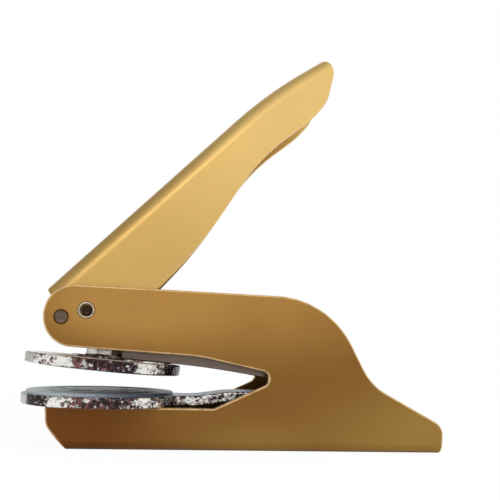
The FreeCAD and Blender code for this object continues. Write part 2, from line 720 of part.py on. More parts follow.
def arm_land():
    """Raised seat of the arm on the disc's back, with a round front end."""
    low = UPPER_DISC_TOP - DISC_BEVEL
    half = ARM_HALF + LAND_BORDER
    strip = Part.makeBox(DISC_RADIUS, 2 * half, LAND_TOP - low, Vector(0, -half, low))
    land = fuse(strip, upright(half, 0, 0, low, LAND_TOP))
    return land.common(upright(ARM_FLAT, 0, 0, low, LAND_TOP))


def upper_disc():
    rim = DISC_RADIUS - DISC_BEVEL
    disc = turned_upright([
        (0, UPPER_DISC_BOTTOM),
        (rim, UPPER_DISC_BOTTOM),
        (DISC_RADIUS, UPPER_DISC_BOTTOM + DISC_BEVEL),
        (DISC_RADIUS, UPPER_DISC_TOP - DISC_BEVEL),
        (rim, UPPER_DISC_TOP),
        (0, UPPER_DISC_TOP),
    ], 0, 0)
    foot = [(0, UPPER_DISC_TOP), (BOSS_RADIUS + BOSS_FILLET, UPPER_DISC_TOP)]
    boss = turned_upright(foot + boss_foot() + [(BOSS_RADIUS, BOSS_TOP), (0, BOSS_TOP)], 0, 0)
    disc = fuse(disc, arm_land(), boss)
    ceiling = UPPER_DISC_BOTTOM + UPPER_DIE_SEAT
    disc = disc.cut(upright(UPPER_DIE_RADIUS + DIE_CLEARANCE, 0, 0, UPPER_DISC_BOTTOM, ceiling))
    disc = disc.cut(upright(PAD_RADIUS, 0, 0, PAD_TOP - PAD_THICKNESS, BOSS_TOP))
    for y in arm_rivet_rows():
        disc = disc.cut(upright(ARM_RIVET_RADIUS, ARM_RIVET_X, y, UPPER_DISC_BOTTOM, LAND_TOP))
    return lifted_jaw(disc)


def upper_die():
    back = UPPER_DISC_BOTTOM + UPPER_DIE_SEAT
    disc = upright(UPPER_DIE_RADIUS, 0, 0, UPPER_DIE_FACE, back)
    for relief in figure(UPPER_DIE_FACE, UPPER_DIE_FACE + RELIEF + RELIEF_CLEARANCE, RELIEF_CLEARANCE):
        disc = disc.cut(relief)
    return lifted_jaw(disc)


def press_pad():
    pad = upright(PAD_RADIUS, 0, 0, PAD_TOP - PAD_THICKNESS, PAD_TOP)
    return lifted_jaw(pad)


def arm_rivet_rows():
    row = ARM_HALF - ARM_RIVET_EDGE
    return (-row, row)


def press_arm():
    """Bent bar from the back of the upper disc to a rolled eye around the hinge."""
    centre = Vector(ARM_FLAT, 0, ARM_MIDDLE - ARM_CURVE)
    sweep = math.asin(ARM_RUN / ARM_CURVE)
    top = ARM_CURVE + ARM_THICKNESS / 2
    bottom = ARM_CURVE - ARM_THICKNESS / 2

    def along(radius, part):
        angle = sweep * part
        return centre + Vector(radius * math.sin(angle), 0, radius * math.cos(angle))

    wire = Part.Wire([
        Part.LineSegment(Vector(ARM_START, 0, ARM_TOP), along(top, 0)).toShape(),
        Part.Arc(along(top, 0), along(top, 0.5), along(top, 1)).toShape(),
        Part.LineSegment(along(top, 1), along(bottom, 1)).toShape(),
        Part.Arc(along(bottom, 1), along(bottom, 0.5), along(bottom, 0)).toShape(),
        Part.LineSegment(along(bottom, 0), Vector(ARM_START, 0, LAND_TOP)).toShape(),
        Part.LineSegment(Vector(ARM_START, 0, LAND_TOP), Vector(ARM_START, 0, ARM_TOP)).toShape(),
    ])
    bar = across(wire, ARM_HALF)
    bar = rounded(bar, ARM_CORNER, lambda edge: stands_at(edge, ARM_START))
    bar = bar.cut(upright(BOSS_RADIUS + BOSS_FILLET + ARM_GAP, 0, 0, LAND_TOP, ARM_TOP))
    bar = fuse(bar, crosswise(EYE_RADIUS, HINGE, -ARM_HALF, ARM_HALF))
    bar = bar.cut(crosswise(HINGE_BUSH_RADIUS, HINGE, -ARM_HALF, ARM_HALF))
    for y in arm_rivet_rows():
        bar = bar.cut(upright(ARM_RIVET_RADIUS, ARM_RIVET_X, y, LAND_TOP, ARM_TOP))
    return lifted_jaw(bar)


def stands_at(edge, x):
    """True for an upright edge at this X."""
    box = edge.BoundBox
    return box.ZMax - box.ZMin > 1 and abs(box.XMin - x) < 1e-4 and abs(box.XMax - x) < 1e-4


def arm_rivets():
    head_radius, head_height = ARM_RIVET_HEAD
    low = UPPER_DISC_BOTTOM + UPPER_DIE_SEAT
    profile = [
        (0, low),
        (ARM_RIVET_RADIUS, low),
        (ARM_RIVET_RADIUS, ARM_TOP),
        (head_radius, ARM_TOP),
        (head_radius * 0.9, ARM_TOP + head_height * 0.6),
        (head_radius * 0.55, ARM_TOP + head_height),
        (0, ARM_TOP + head_height),
    ]
    return [lifted_jaw(turned_upright(profile, ARM_RIVET_X, y)) for y in arm_rivet_rows()]


def arm_bush():
    sleeve = crosswise(HINGE_BUSH_RADIUS, HINGE, -ARM_HALF, ARM_HALF)
    return lifted_jaw(sleeve.cut(crosswise(HINGE_PIN_RADIUS + RUNNING, HINGE, -ARM_HALF, ARM_HALF)))


# --- Hinge ---
def hinge_bracket():
    """Folded bracket welded to the base, with an ear on each side of the eye."""
    front = HINGE[0] - BRACKET_LENGTH / 2
    rear = HINGE[0] + BRACKET_LENGTH / 2
    top = HINGE[1] + EAR_RADIUS
    outer = side_solid([
        (front, SHEET, 0),
        (rear, SHEET, 0),
        (HINGE[0] + EAR_RADIUS, top, EAR_RADIUS * 0.9),
        (HINGE[0] - EAR_RADIUS, top, EAR_RADIUS * 0.9),
    ], EAR_OUTER)
    outer = rounded(outer, EAR_SHEET * 1.25, lambda edge: on_plane(edge, "Z", SHEET) and along_x(edge))
    room = Part.makeBox(BRACKET_LENGTH, 2 * EAR_INNER, top, Vector(front, -EAR_INNER, SHEET + EAR_SHEET))
    bracket = outer.cut(room)
    return bracket.cut(crosswise(HINGE_PIN_RADIUS + SNUG, HINGE, -EAR_OUTER, EAR_OUTER))


def along_x(edge):
    box = edge.BoundBox
    return box.XMax - box.XMin > 1 and box.YMax - box.YMin < 1e-4


def hinge_pin():
    groove = HINGE_PIN_RADIUS - CLIP_GROOVE
    end = HINGE_PIN_RADIUS - PIN_END / 2
    half = [
        (0, PIN_TIP),
        (end, PIN_TIP),
        (HINGE_PIN_RADIUS, PIN_TIP - PIN_END / 2),
        (HINGE_PIN_RADIUS, CLIP_OUTER),
        (groove, CLIP_OUTER),
        (groove, CLIP_INNER),
        (HINGE_PIN_RADIUS, CLIP_INNER),
    ]
    return turned_crosswise(half + [(radius, -y) for radius, y in reversed(half)], HINGE)


def hinge_clip():
    """Open retaining clip in the pin's groove, on the -Y side."""
    ring = crosswise(CLIP_RADIUS, HINGE, -CLIP_OUTER, -CLIP_INNER)
    ring = ring.cut(crosswise(HINGE_PIN_RADIUS - CLIP_GROOVE, HINGE, -CLIP_OUTER, -CLIP_INNER))
    corner = Vector(HINGE[0] - CLIP_MOUTH / 2, -CLIP_OUTER, HINGE[1])
    return ring.cut(Part.makeBox(CLIP_MOUTH, CLIP_THICKNESS, 2 * CLIP_RADIUS, corner))


# --- Spring ---
def arm_underside_centre():
    """Centre of the arc of the arm's underside, with the press open."""
    x, z = turn(ARM_FLAT - HINGE[0], ARM_MIDDLE - ARM_CURVE - HINGE[1], JAW_OPEN)
    return HINGE[0] + x, HINGE[1] + z


def arm_underside(x):
    """Height of the arm's underside at x, with the press open."""
    centre = arm_underside_centre()
    radius = ARM_CURVE - ARM_THICKNESS / 2
    return centre[1] + math.sqrt(radius ** 2 - (x - centre[0]) ** 2)


def spring_span():
    """Heights of the spring's two ends."""
    lowest = min(arm_underside(SPRING_X + side * CUP_RADIUS) for side in (-1, 1))
    return SHEET + CUP_THICKNESS, lowest - SADDLE_THICKNESS


def spring_cup():
    low, high = spring_span()
    plate = upright(CUP_RADIUS, SPRING_X, 0, SHEET, low)
    return fuse(plate, upright(PEG_RADIUS, SPRING_X, 0, low, low + PEG_HEIGHT))


def spring_saddle():
    """Upper seat of the spring, cut to the arm's underside, with a peg into the coils."""
    low, high = spring_span()
    seat = upright(CUP_RADIUS, SPRING_X, 0, high, arm_underside(SPRING_X) + ARM_THICKNESS)
    peg = upright(PEG_RADIUS, SPRING_X, 0, high - PEG_HEIGHT, high)
    under = crosswise(ARM_CURVE - ARM_THICKNESS / 2, arm_underside_centre(), -2 * CUP_RADIUS, 2 * CUP_RADIUS)
    return fuse(seat.common(under), peg)


def return_spring():
    """Coil spring with a closed turn at each end."""
    low, high = spring_span()
    wire_radius = SPRING_WIRE / 2
    closed = SPRING_WIRE * 1.04
    active = (high - low - SPRING_WIRE - 2 * closed) / (SPRING_TURNS - 2)
    height = low + wire_radius
    edges = []
    for pitch, turns in ((closed, 1), (active, SPRING_TURNS - 2), (closed, 1)):
        helix = Part.makeHelix(pitch, pitch * turns, SPRING_RADIUS)
        helix.translate(Vector(SPRING_X, 0, height))
        edges.extend(helix.Edges)
        height += pitch * turns
    corners = []
    for i in range(SPRING_SIDES):
        angle = 2 * math.pi * (i + 0.5) / SPRING_SIDES
        out = SPRING_RADIUS + wire_radius * math.cos(angle)
        corners.append(Vector(SPRING_X + out, 0, low + wire_radius + wire_radius * math.sin(angle)))
    section = Part.makePolygon(corners + corners[:1])
    return Part.Wire(edges).makePipeShell([section], True, True)


def main():
    os.makedirs("parts", exist_ok=True)
    export("body_frame", body_frame())
    export("pivot_rivet", pivot_rivet())
    export("stop_pin", stop_pin())
    export("pivot_washers", pivot_washer(), mirrored(pivot_washer()))
    export("lower_plate", lower_plate())
    export("lower_die", lower_die())
    export("support_posts", *support_posts())
    export("base_screws", *[base_screw(x) for x in (POST_FRONT, POST_REAR)])
    export("plate_screws", *[plate_screw(x, top) for x, top in plate_screw_places()])
    export("hinge_bracket", hinge_bracket())
    export("hinge_pin", hinge_pin())
    export("hinge_clips", hinge_clip(), mirrored(hinge_clip()))
    export("spring_cup", spring_cup())
    export("return_spring", return_spring())
    export("press_arm", press_arm())
    export("arm_bush", arm_bush())
    export("arm_rivets", *arm_rivets())
    export("upper_disc", upper_disc())
    export("upper_die", upper_die())
    export("press_pad", press_pad())
    export("spring_saddle", spring_saddle())
    export("handle_shell", handle_shell())
    export("cam_block", cam_block())
    export("cam_rivets", *cam_rivets())
    export("pivot_bush", pivot_bush())


main()
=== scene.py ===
"""Dresses the seal embosser's solids: folded sheet, castings, dies, spring, finishes and studio."""

import json
import math

import bmesh
import bpy
from bpy.props import (
    FloatProperty,
    FloatVectorProperty,
    IntProperty,
    PointerProperty,
)
from mathutils import Matrix, Vector, noise


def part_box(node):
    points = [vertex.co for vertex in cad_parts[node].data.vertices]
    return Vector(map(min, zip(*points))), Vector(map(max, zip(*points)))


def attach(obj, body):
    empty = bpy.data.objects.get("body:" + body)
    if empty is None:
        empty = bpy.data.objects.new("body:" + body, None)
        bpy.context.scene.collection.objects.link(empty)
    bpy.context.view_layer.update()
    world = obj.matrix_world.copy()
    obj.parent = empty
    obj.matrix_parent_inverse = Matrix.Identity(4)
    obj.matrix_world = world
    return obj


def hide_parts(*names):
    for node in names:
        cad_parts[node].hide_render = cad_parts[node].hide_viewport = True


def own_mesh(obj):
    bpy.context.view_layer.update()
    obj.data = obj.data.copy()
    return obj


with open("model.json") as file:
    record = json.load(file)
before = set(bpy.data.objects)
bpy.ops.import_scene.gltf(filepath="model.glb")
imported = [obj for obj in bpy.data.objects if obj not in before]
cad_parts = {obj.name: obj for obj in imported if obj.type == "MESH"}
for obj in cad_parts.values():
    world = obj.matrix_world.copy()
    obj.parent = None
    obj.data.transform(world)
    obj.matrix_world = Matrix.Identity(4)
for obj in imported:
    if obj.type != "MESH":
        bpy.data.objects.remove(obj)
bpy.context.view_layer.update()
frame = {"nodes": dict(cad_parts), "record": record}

bl_info = {
    "name": "Seal Embosser Dressing",
    "version": (1, 0, 0),
    "blender": (4, 5, 0),
    "location": "3D View > Sidebar > Embosser",
    "description": "Builds the visible pieces of a hand seal embosser around its solids",
    "category": "Object",
}

MM = 0.001


def reach(node, end, axis):
    """Coordinate of a solid's box in millimetres: end 0 is its low side, 1 its high side."""
    return round(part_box(node)[end][axis] / MM, 3)


def middle(node):
    """Centre of a solid's box, in millimetres."""
    return Vector([(reach(node, 0, axis) + reach(node, 1, axis)) / 2 for axis in range(3)])


# Places and sizes that the pieces share with the solids, in millimetres and degrees.
HINGE = middle("hinge_pin")
PIVOT = middle("pivot_rivet")
STOP = middle("stop_pin")
JAW_OPEN = 4.2
HANDLE_RAISED = 45.2
LIFT = (Matrix.Translation(HINGE) @ Matrix.Rotation(math.radians(JAW_OPEN), 4, "Y")
        @ Matrix.Translation(-HINGE))
RAISE = Matrix.Translation(PIVOT) @ Matrix.Rotation(math.radians(-HANDLE_RAISED), 4, "Y")
CHEEK = reach("body_frame", 1, 1)         # outer face of the cheeks
BODY_SHEET = 2.0
BODY_FOLD = 3.0                           # outside radius of the folds along the base
HANDLE_SHEET = 1.8
HANDLE_FOLD = 5.0
HANDLE_HALF = 13.3                        # half of the handle's width
HANDLE_BACK = 13.55                       # height of its back above the pivot
HANDLE_LENGTH = 115.3                     # from the pivot to the tip
DROOP = 4.55                              # how far the back falls to the tip
DROOP_LENGTH = 22.5
DROOP_BEND = 150.0                        # radius of the bend where it starts to fall
INNER_EDGE = 0.3                          # rounding of the sheets' inner edges
CAM_RIVETS = ((10.5, -5.3), (5.4, -7.3))  # places in the level handle, from the pivot
CAM_RIVET = 1.6                           # radius
BUSH = 3.24                               # radius of the handle's hole for its bush
DISC = reach("lower_plate", 1, 1)         # radius of the die holders
CASTING = 3.3                             # thickness of the die holders
RIM_EDGE = 0.45                           # rounding of their edges
RIM_ROWS = 9                              # rows of faces down their rims
TONGUE_HALF = 8.0
TONGUE_END = 54.56
NECK = 6.0                                # radius of the hollow corners beside the tongue
JOGGLE_START, JOGGLE_LENGTH, JOGGLE_RISE = 28.66, 15.0, 1.6
LOWER_DIE = reach("lower_die", 1, 1)      # radius of the lower die
UPPER_DIE = reach("upper_die", 1, 1)
DIE_ROOM = 0.1                            # around each die in its recess
PLATE_LOW = reach("lower_plate", 0, 2)    # underside of the lower holder
PLATE_TOP = PLATE_LOW + CASTING
DIE_TOP = PLATE_TOP + 1.0
UPPER_FACE = DIE_TOP + 0.3                # face of the upper die, closed
UPPER_LOW = UPPER_FACE + 0.3              # underside of the upper holder, closed
UPPER_TOP = UPPER_LOW + CASTING
LAND_TOP = UPPER_TOP + 0.55               # the arm's raised seat
ARM = 3.4                                 # thickness of the arm
ARM_HALF = reach("press_arm", 1, 1)
ARM_FLAT = DISC - 3.0                     # where the arm starts to curve down
PAD_TOP = 30.9


# ---------------------------------------------------------------- outlines and meshes
def outline(corners, step):
    """Points along a closed outline of (a, b, radius) corners, at most a step apart."""
    spots = [Vector((a, b)) for a, b, radius in corners]
    count = len(spots)
    arcs = []
    for i, (a, b, radius) in enumerate(corners):
        into = (spots[i] - spots[i - 1]).normalized()
        away = (spots[(i + 1) % count] - spots[i]).normalized()
        turn = into.angle(away)
        setback = radius * math.tan(turn / 2)
        if setback < 1e-6:
            arcs.append([spots[i]])
            continue
        centre = spots[i] + (away - into).normalized() * (radius / math.cos(turn / 2))
        way = 1 if into.x * away.y - into.y * away.x > 0 else -1
        steps = max(3, math.ceil(radius * turn / step), math.ceil(turn / math.radians(7)))
        start = spots[i] - into * setback - centre
        arcs.append([centre + Matrix.Rotation(way * turn * k / steps, 2) @ start for k in range(steps + 1)])
    points = []
    for i, arc in enumerate(arcs):
        points.extend(arc)
        gap = arcs[(i + 1) % count][0] - arc[-1]
        pieces = math.ceil(gap.length / step)
        points.extend(arc[-1] + gap * (k / pieces) for k in range(1, pieces))
    return points


def drawn_in(points, distance):
    """The closed outline moved inwards; distance is a number, or one for each point."""
    count = len(points)
    area = sum(points[i - 1].x * points[i].y - points[i].x * points[i - 1].y for i in range(count))
    side = 1 if area > 0 else -1
    moved = []
    for i, point in enumerate(points):
        into = (point - points[i - 1]).normalized()
        away = (points[(i + 1) % count] - point).normalized()
        left = Vector((-into.y, into.x)) * side
        right = Vector((-away.y, away.x)) * side
        depth = distance[i] if isinstance(distance, list) else distance
        moved.append(point + (left + right) * (depth / (1 + left.dot(right))))
    return moved


def edge_rows(thickness, outer, inner, rows=1):
    """(inset, depth) pairs down a sheet's rounded edge, from its outer face to its inner one."""
    angles = [math.radians(90 * k / 4) for k in range(5)]
    top = [(outer * (1 - math.sin(a)), outer * (1 - math.cos(a))) for a in angles]
    low = [(inner * (1 - math.sin(a)), thickness - inner * (1 - math.cos(a))) for a in reversed(angles)]
    between = [(0.0, outer + (thickness - outer - inner) * k / rows) for k in range(1, rows)]
    return top + between + low


def piece(name, mesh_data, slot, body, *nodes):
    """Links the object, lets it stand for its solids and ride on their body."""
    made = bpy.data.objects.new(name, mesh_data)
    bpy.context.scene.collection.objects.link(made)
    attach(made, body)
    if nodes:
        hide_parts(*nodes)
    return made


def finished(build, name, sharp=32.0):
    """Turns mesh code's result into smooth-shaded mesh data that keeps its hard edges."""
    bmesh.ops.remove_doubles(build, verts=build.verts, dist=1e-7)
    bmesh.ops.recalc_face_normals(build, faces=build.faces)
    data = bpy.data.meshes.new(name)
    build.to_mesh(data)
    build.free()
    for face in data.polygons:
        face.use_smooth = True
    data.set_sharp_from_angle(angle=math.radians(sharp))
    return data


def even_shading(made):
    """Lets the large flat faces keep their own normals beside the rounded edges."""
    weighted = made.modifiers.new("Flat faces", "WEIGHTED_NORMAL")
    weighted.keep_sharp = True
    weighted.weight = 90
    return made


def stitched(build, first, second):
    for i in range(len(first)):
        build.faces.new((first[i - 1], first[i], second[i], second[i - 1]))


def sheet_data(name, blank, rows, place, cuts=(), rough=None, sharp=32.0):
    """A flat blank with rounded edges, divided along its bends and put in place.

    place(u, v, depth) gives a point in millimetres; rough(u, v, depth) is how far the
    edge lies inwards there.
    """
    build = bmesh.new()
    edge = build.verts.layers.float.new("edge")
    rings = []
    for k, (inset, depth) in enumerate(rows):
        line = drawn_in(blank, inset)
        if rough and 0 < k < len(rows) - 1:
            line = drawn_in(blank, [inset + rough(p.x, p.y, depth) for p in line])
        ring = []
        for point in line:
            corner = build.verts.new((point.x, point.y, depth))
            corner[edge] = 0.0 if k in (0, len(rows) - 1) else 1.0
            ring.append(corner)
        rings.append(ring)
    for first, second in zip(rings, rings[1:]):
        stitched(build, first, second)
    build.faces.new(rings[0])
    build.faces.new(list(reversed(rings[-1])))
    for axis, value in cuts:
        spot = Vector((value, 0, 0)) if axis == "u" else Vector((0, value, 0))
        way = Vector((1, 0, 0)) if axis == "u" else Vector((0, 1, 0))
        everything = build.verts[:] + build.edges[:] + build.faces[:]
        bmesh.ops.bisect_plane(build, geom=everything, plane_co=spot, plane_no=way, dist=1e-5)
    for corner in build.verts:
        corner.co = place(*corner.co) * MM
    return finished(build, name, sharp)


def stacked_data(name, loops, place, sharp=32.0, edges=()):
    """Closed loops of points joined in order; a loop of one point closes an end."""
    build = bmesh.new()
    edge = build.verts.layers.float.new("edge")
    rings = []
    for k, loop in enumerate(loops):
        ring = [build.verts.new(place @ Vector(point) * MM) for point in loop]
        for corner in ring:
            corner[edge] = 1.0 if k in edges else 0.0
        rings.append(ring)
    for first, second in zip(rings, rings[1:]):
        if len(first) == 1 and len(second) == 1:
            continue
        if len(first) == 1 or len(second) == 1:
            tip, ring = (first[0], second) if len(first) == 1 else (second[0], first)
            for i in range(len(ring)):
                build.faces.new((ring[i - 1], ring[i], tip))
        else:
            stitched(build, first, second)
    return finished(build, name, sharp)


def circle(radius, height, count, rough=None):
    """Points of a circle about the upright axis."""
    if radius < 1e-6:
        return [(0.0, 0.0, height)]
    points = []
    for i in range(count):
        angle = 2 * math.pi * i / count
        out = radius
        if rough:
            out -= rough(radius * math.cos(angle), radius * math.sin(angle), height)
        points.append((out * math.cos(angle), out * math.sin(angle), height))
    return points


def turned_data(name, profile, place, count=96, sharp=32.0, closed=False):
    """Body of revolution of a (radius, height) profile about the upright axis."""
    profile = profile + profile[:1] if closed else profile
    return stacked_data(name, [circle(r, z, count) for r, z in profile], place, sharp)


def crosswise(centre):
    """Puts an upright turned piece along Y, through a centre in the XZ plane."""
    return Matrix.Translation(centre) @ Matrix.Rotation(math.radians(-90), 4, "X")


def upright(x, y):
    return Matrix.Translation((x, y, 0))


def quarter(cx, cz, radius, start, end, steps=4):
    """Points of an arc, as (radius, height) pairs; angles in degrees from the outward side."""
    angles = [math.radians(start + (end - start) * k / steps) for k in range(steps + 1)]
    return [(cx + radius * math.cos(a), cz + radius * math.sin(a)) for a in angles]


def cast_surface(depth, size):
    """How far a rough casting's skin lies inwards, in millimetres, at a place."""
    def at(u, v, w):
        spot = Vector((u, v, w)) / size
        lumps = 0.5 + 0.5 * noise.noise(spot * 0.8)
        dents = max(0.0, 1 - 1.5 * noise.voronoi(spot * 1.2)[0][0])
        return depth * min(1.0, 0.55 * lumps + 0.6 * dents)
    return at


# ---------------------------------------------------------------- finishes
def shading(name):
    """A new material, its tree and its shader."""
    made = bpy.data.materials.new(name)
    made.use_nodes = True
    return made, made.node_tree, made.node_tree.nodes["Principled BSDF"]


def put(tree, kind, **settings):
    """Adds a node; settings name its properties or, for inputs, their value."""
    made = tree.nodes.new(kind)
    for key, value in settings.items():
        if hasattr(made, key) and key not in made.inputs:
            setattr(made, key, value)
        else:
            made.inputs[key].default_value = value
    return made


def join(tree, source, target):
    tree.links.new(source, target)


def feed(tree, made, *pairs):
    """Sets a node's inputs from (input, value) pairs; a value may be a socket."""
    for key, value in pairs:
        if isinstance(value, bpy.types.NodeSocket):
            join(tree, value, made.inputs[key])
        else:
            made.inputs[key].default_value = value


def own_space(tree, scale=None):
    """Places in the object's own space, in metres, scaled along its axes where asked."""
    place = put(tree, "ShaderNodeTexCoord").outputs["Object"]
    if scale:
        mapping = put(tree, "ShaderNodeMapping", Scale=scale)
        join(tree, place, mapping.inputs["Vector"])
        place = mapping.outputs["Vector"]
    return place


def coordinate(tree, axis):
    """One coordinate in the object's own space."""
    made = put(tree, "ShaderNodeSeparateXYZ")
    join(tree, own_space(tree), made.inputs[0])
    return made.outputs[axis]


def noise_of(tree, scale, detail=2.0, roughness=0.5, stretch=None):
    """Value of a noise in the object's own space."""
    made = put(tree, "ShaderNodeTexNoise", Scale=scale, Detail=detail, Roughness=roughness)
    join(tree, own_space(tree, stretch), made.inputs["Vector"])
    return made.outputs["Fac"]


def span(tree, source, low, high, to_low=0.0, to_high=1.0, way="SMOOTHSTEP"):
    """Maps a value from one range to another, clamped."""
    made = put(tree, "ShaderNodeMapRange", interpolation_type=way)
    feed(tree, made, ("Value", source), ("From Min", low), ("From Max", high),
         ("To Min", to_low), ("To Max", to_high))
    return made.outputs["Result"]


def blended(tree, share, first, second):
    """Mixes two colours; each is a colour or a socket, share a number or a socket."""
    made = put(tree, "ShaderNodeMix", data_type="RGBA")
    first, second = [colour if isinstance(colour, bpy.types.NodeSocket) else (*colour, 1.0)
                     for colour in (first, second)]
    feed(tree, made, (0, share), (6, first), (7, second))
    return made.outputs[2]


def mixed(tree, share, first, second):
    """Mixes two numbers; each may be a socket."""
    made = put(tree, "ShaderNodeMix", data_type="FLOAT")
    feed(tree, made, (0, share), (2, first), (3, second))
    return made.outputs[0]


def sums(tree, operation, first, second=0.0):
    """Works out a value from one or two; each may be a socket."""
    made = put(tree, "ShaderNodeMath", operation=operation)
    feed(tree, made, (0, first), (1, second))
    return made.outputs[0]


def times(tree, first, second):
    return sums(tree, "MULTIPLY", first, second)


def toned(colour, share):
    """A lighter or darker tone of a colour, at most white."""
    return [min(1.0, c * share) for c in colour]


def edge_share(tree):
    return put(tree, "ShaderNodeAttribute", attribute_name="edge").outputs["Fac"]


def bumps(tree, shader, *layers):
    """Chains bump nodes; each layer is (height socket, strength, distance in metres)."""
    before = None
    for height, strength, distance in layers:
        made = put(tree, "ShaderNodeBump", Strength=strength, Distance=distance)
        join(tree, height, made.inputs["Height"])
        if before:
            join(tree, before, made.inputs["Normal"])
        before = made.outputs["Normal"]
    join(tree, before, shader.inputs["Normal"])


def painted_light_and_shade(tree, colour, *spots, stretch=1.0):
    """Paints light and shade: lets a colour change slowly round places seen from the side.

    Each spot is ((x, z), near, far, colour), in millimetres; the spots are stretched along x.
    """
    flat = own_space(tree, (1 / stretch, 0.0, 1.0))
    for (x, z), near, far, tone in spots:
        away = put(tree, "ShaderNodeVectorMath", operation="DISTANCE")
        feed(tree, away, (0, flat), (1, (x * MM / stretch, 0.0, z * MM)))
        share = span(tree, away.outputs["Value"], near * MM, far * MM, 1.0, 0.0)
        colour = blended(tree, share, colour, tone)
    return colour


def stops(tree, source, low, high, *marks):
    """Colour along a length; each mark is (millimetres, colour)."""
    made = put(tree, "ShaderNodeValToRGB")
    elements = made.color_ramp.elements
    elements.remove(elements[1])
    for k, (value, colour) in enumerate(marks):
        position = (value - low) / (high - low)
        if k == 0:
            elements[0].position = position
        element = elements.new(position) if k else elements[0]
        element.color = (*colour, 1.0)
    join(tree, span(tree, source, low * MM, high * MM, way="LINEAR"), made.inputs["Fac"])
    return made.outputs["Color"]


def lacquer(name, main, wear_and_highlight, *spots, stretch=1.0):
    """Satin gold lacquer on sheet: slow spots of painted light and shade, fine grain, edges lightened as
    wear and as painted highlight, stray specks.
    """
    made, tree, shader = shading(name)
    colour = painted_light_and_shade(tree, main, *spots, stretch=stretch)
    cloud = noise_of(tree, 38.0, 3.0, 0.55)
    colour = blended(tree, span(tree, cloud, 0.35, 0.65, 0.0, 0.12), colour, toned(main, 0.6))
    grain = noise_of(tree, 1500.0, 2.0, 0.6)
    colour = blended(tree, span(tree, grain, 0.3, 0.7, 0.0, 0.10), colour, toned(main, 1.5))
    specks = put(tree, "ShaderNodeTexVoronoi", Scale=70.0)
    join(tree, own_space(tree), specks.inputs["Vector"])
    speck = span(tree, specks.outputs["Distance"], 0.012, 0.035, 0.4, 0.0)
    colour = blended(tree, speck, colour, wear_and_highlight)
    # Edges are lightened as wear and also as a painted highlight along their rounding.
    edge_wear_and_highlight = span(tree, noise_of(tree, 420.0, 4.0, 0.65), 0.25, 0.6, 0.35, 0.8)
    colour = blended(tree, times(tree, edge_share(tree), edge_wear_and_highlight), colour, wear_and_highlight)
    join(tree, colour, shader.inputs["Base Color"])
    shader.inputs["Metallic"].default_value = 0.74
    shader.inputs["Specular IOR Level"].default_value = 0.35
    join(tree, span(tree, noise_of(tree, 160.0, 4.0, 0.6), 0.3, 0.7, 0.28, 0.36), shader.inputs["Roughness"])
    peel = noise_of(tree, 700.0)
    bumps(tree, shader, (peel, 0.2, 0.00004), (grain, 0.15, 0.00002), (speck, 0.3, 0.00003))
    return made


BANDS_FROM, BANDS_TO = -25.0, 60.0        # x range of the rims' bands


def rough_chrome(name, face, bright, stain, pit, *bands):
    """Chrome over a rough casting: satin faces with a painted reflection at the front, and edges that are
    bright, stained and pitted.

    Each band is (x in millimetres, (share of bright, share of stain, share of smooth skin)). Placed along x,
    the bright and stain shares paint bands of reflection over the rims' real bright chrome and stains; the
    smooth skin share paints a grey reflection.
    """
    made, tree, shader = shading(name)
    edge = edge_share(tree)
    shares = put(tree, "ShaderNodeSeparateColor")
    join(tree, stops(tree, coordinate(tree, "X"), BANDS_FROM, BANDS_TO, *bands), shares.inputs[0])
    bright_chrome_and_reflection, rust, smooth = shares.outputs
    patches = noise_of(tree, 480.0, 2.0, 0.6, (0.7, 0.7, 1.0))
    crumbs = noise_of(tree, 1150.0, 3.0, 0.75, (0.8, 0.8, 1.0))
    height = sums(tree, "ADD", times(tree, patches, 0.4), times(tree, crumbs, 0.6))
    lit = span(tree, sums(tree, "ADD", height, times(tree, bright_chrome_and_reflection, 0.4)), 0.635, 0.755)
    rusty = sums(tree, "ADD", noise_of(tree, 700.0, 3.0, 0.7), times(tree, rust, 0.4))
    skin = blended(tree, lit, blended(tree, span(tree, rusty, 0.64, 0.76), pit, stain), bright)
    # The smooth skin share paints a plain grey reflection on the rims.
    skin = blended(tree, smooth, skin, toned(bright, 0.62))
    cloud = noise_of(tree, 60.0, 4.0, 0.6)
    # A lighter spot on the faces at the front end paints a reflection; on the upper holder's face this comes
    # out lighter than white at the front end.
    flat = painted_light_and_shade(tree, face, ((-26, 18), 4, 44, [c * 1.9 for c in face]))
    flat = blended(tree, span(tree, cloud, 0.3, 0.7, 0.0, 0.4), flat, toned(face, 0.62))
    fine = noise_of(tree, 1300.0, 3.0, 0.6)
    flat = blended(tree, span(tree, fine, 0.45, 0.75, 0.0, 0.25), flat, bright)
    join(tree, blended(tree, edge, flat, skin), shader.inputs["Base Color"])
    join(tree, mixed(tree, edge, 0.6, 1.0), shader.inputs["Metallic"])
    matt = span(tree, fine, 0.3, 0.7, 0.28, 0.42)
    gloss = mixed(tree, smooth, span(tree, crumbs, 0.4, 0.65, 0.12, 0.34), 0.3)
    join(tree, mixed(tree, edge, matt, gloss), shader.inputs["Roughness"])
    calm = times(tree, height, sums(tree, "SUBTRACT", 1.0, smooth))
    bumps(tree, shader, (calm, 0.7, 0.0002), (fine, 0.2, 0.00004))
    return made


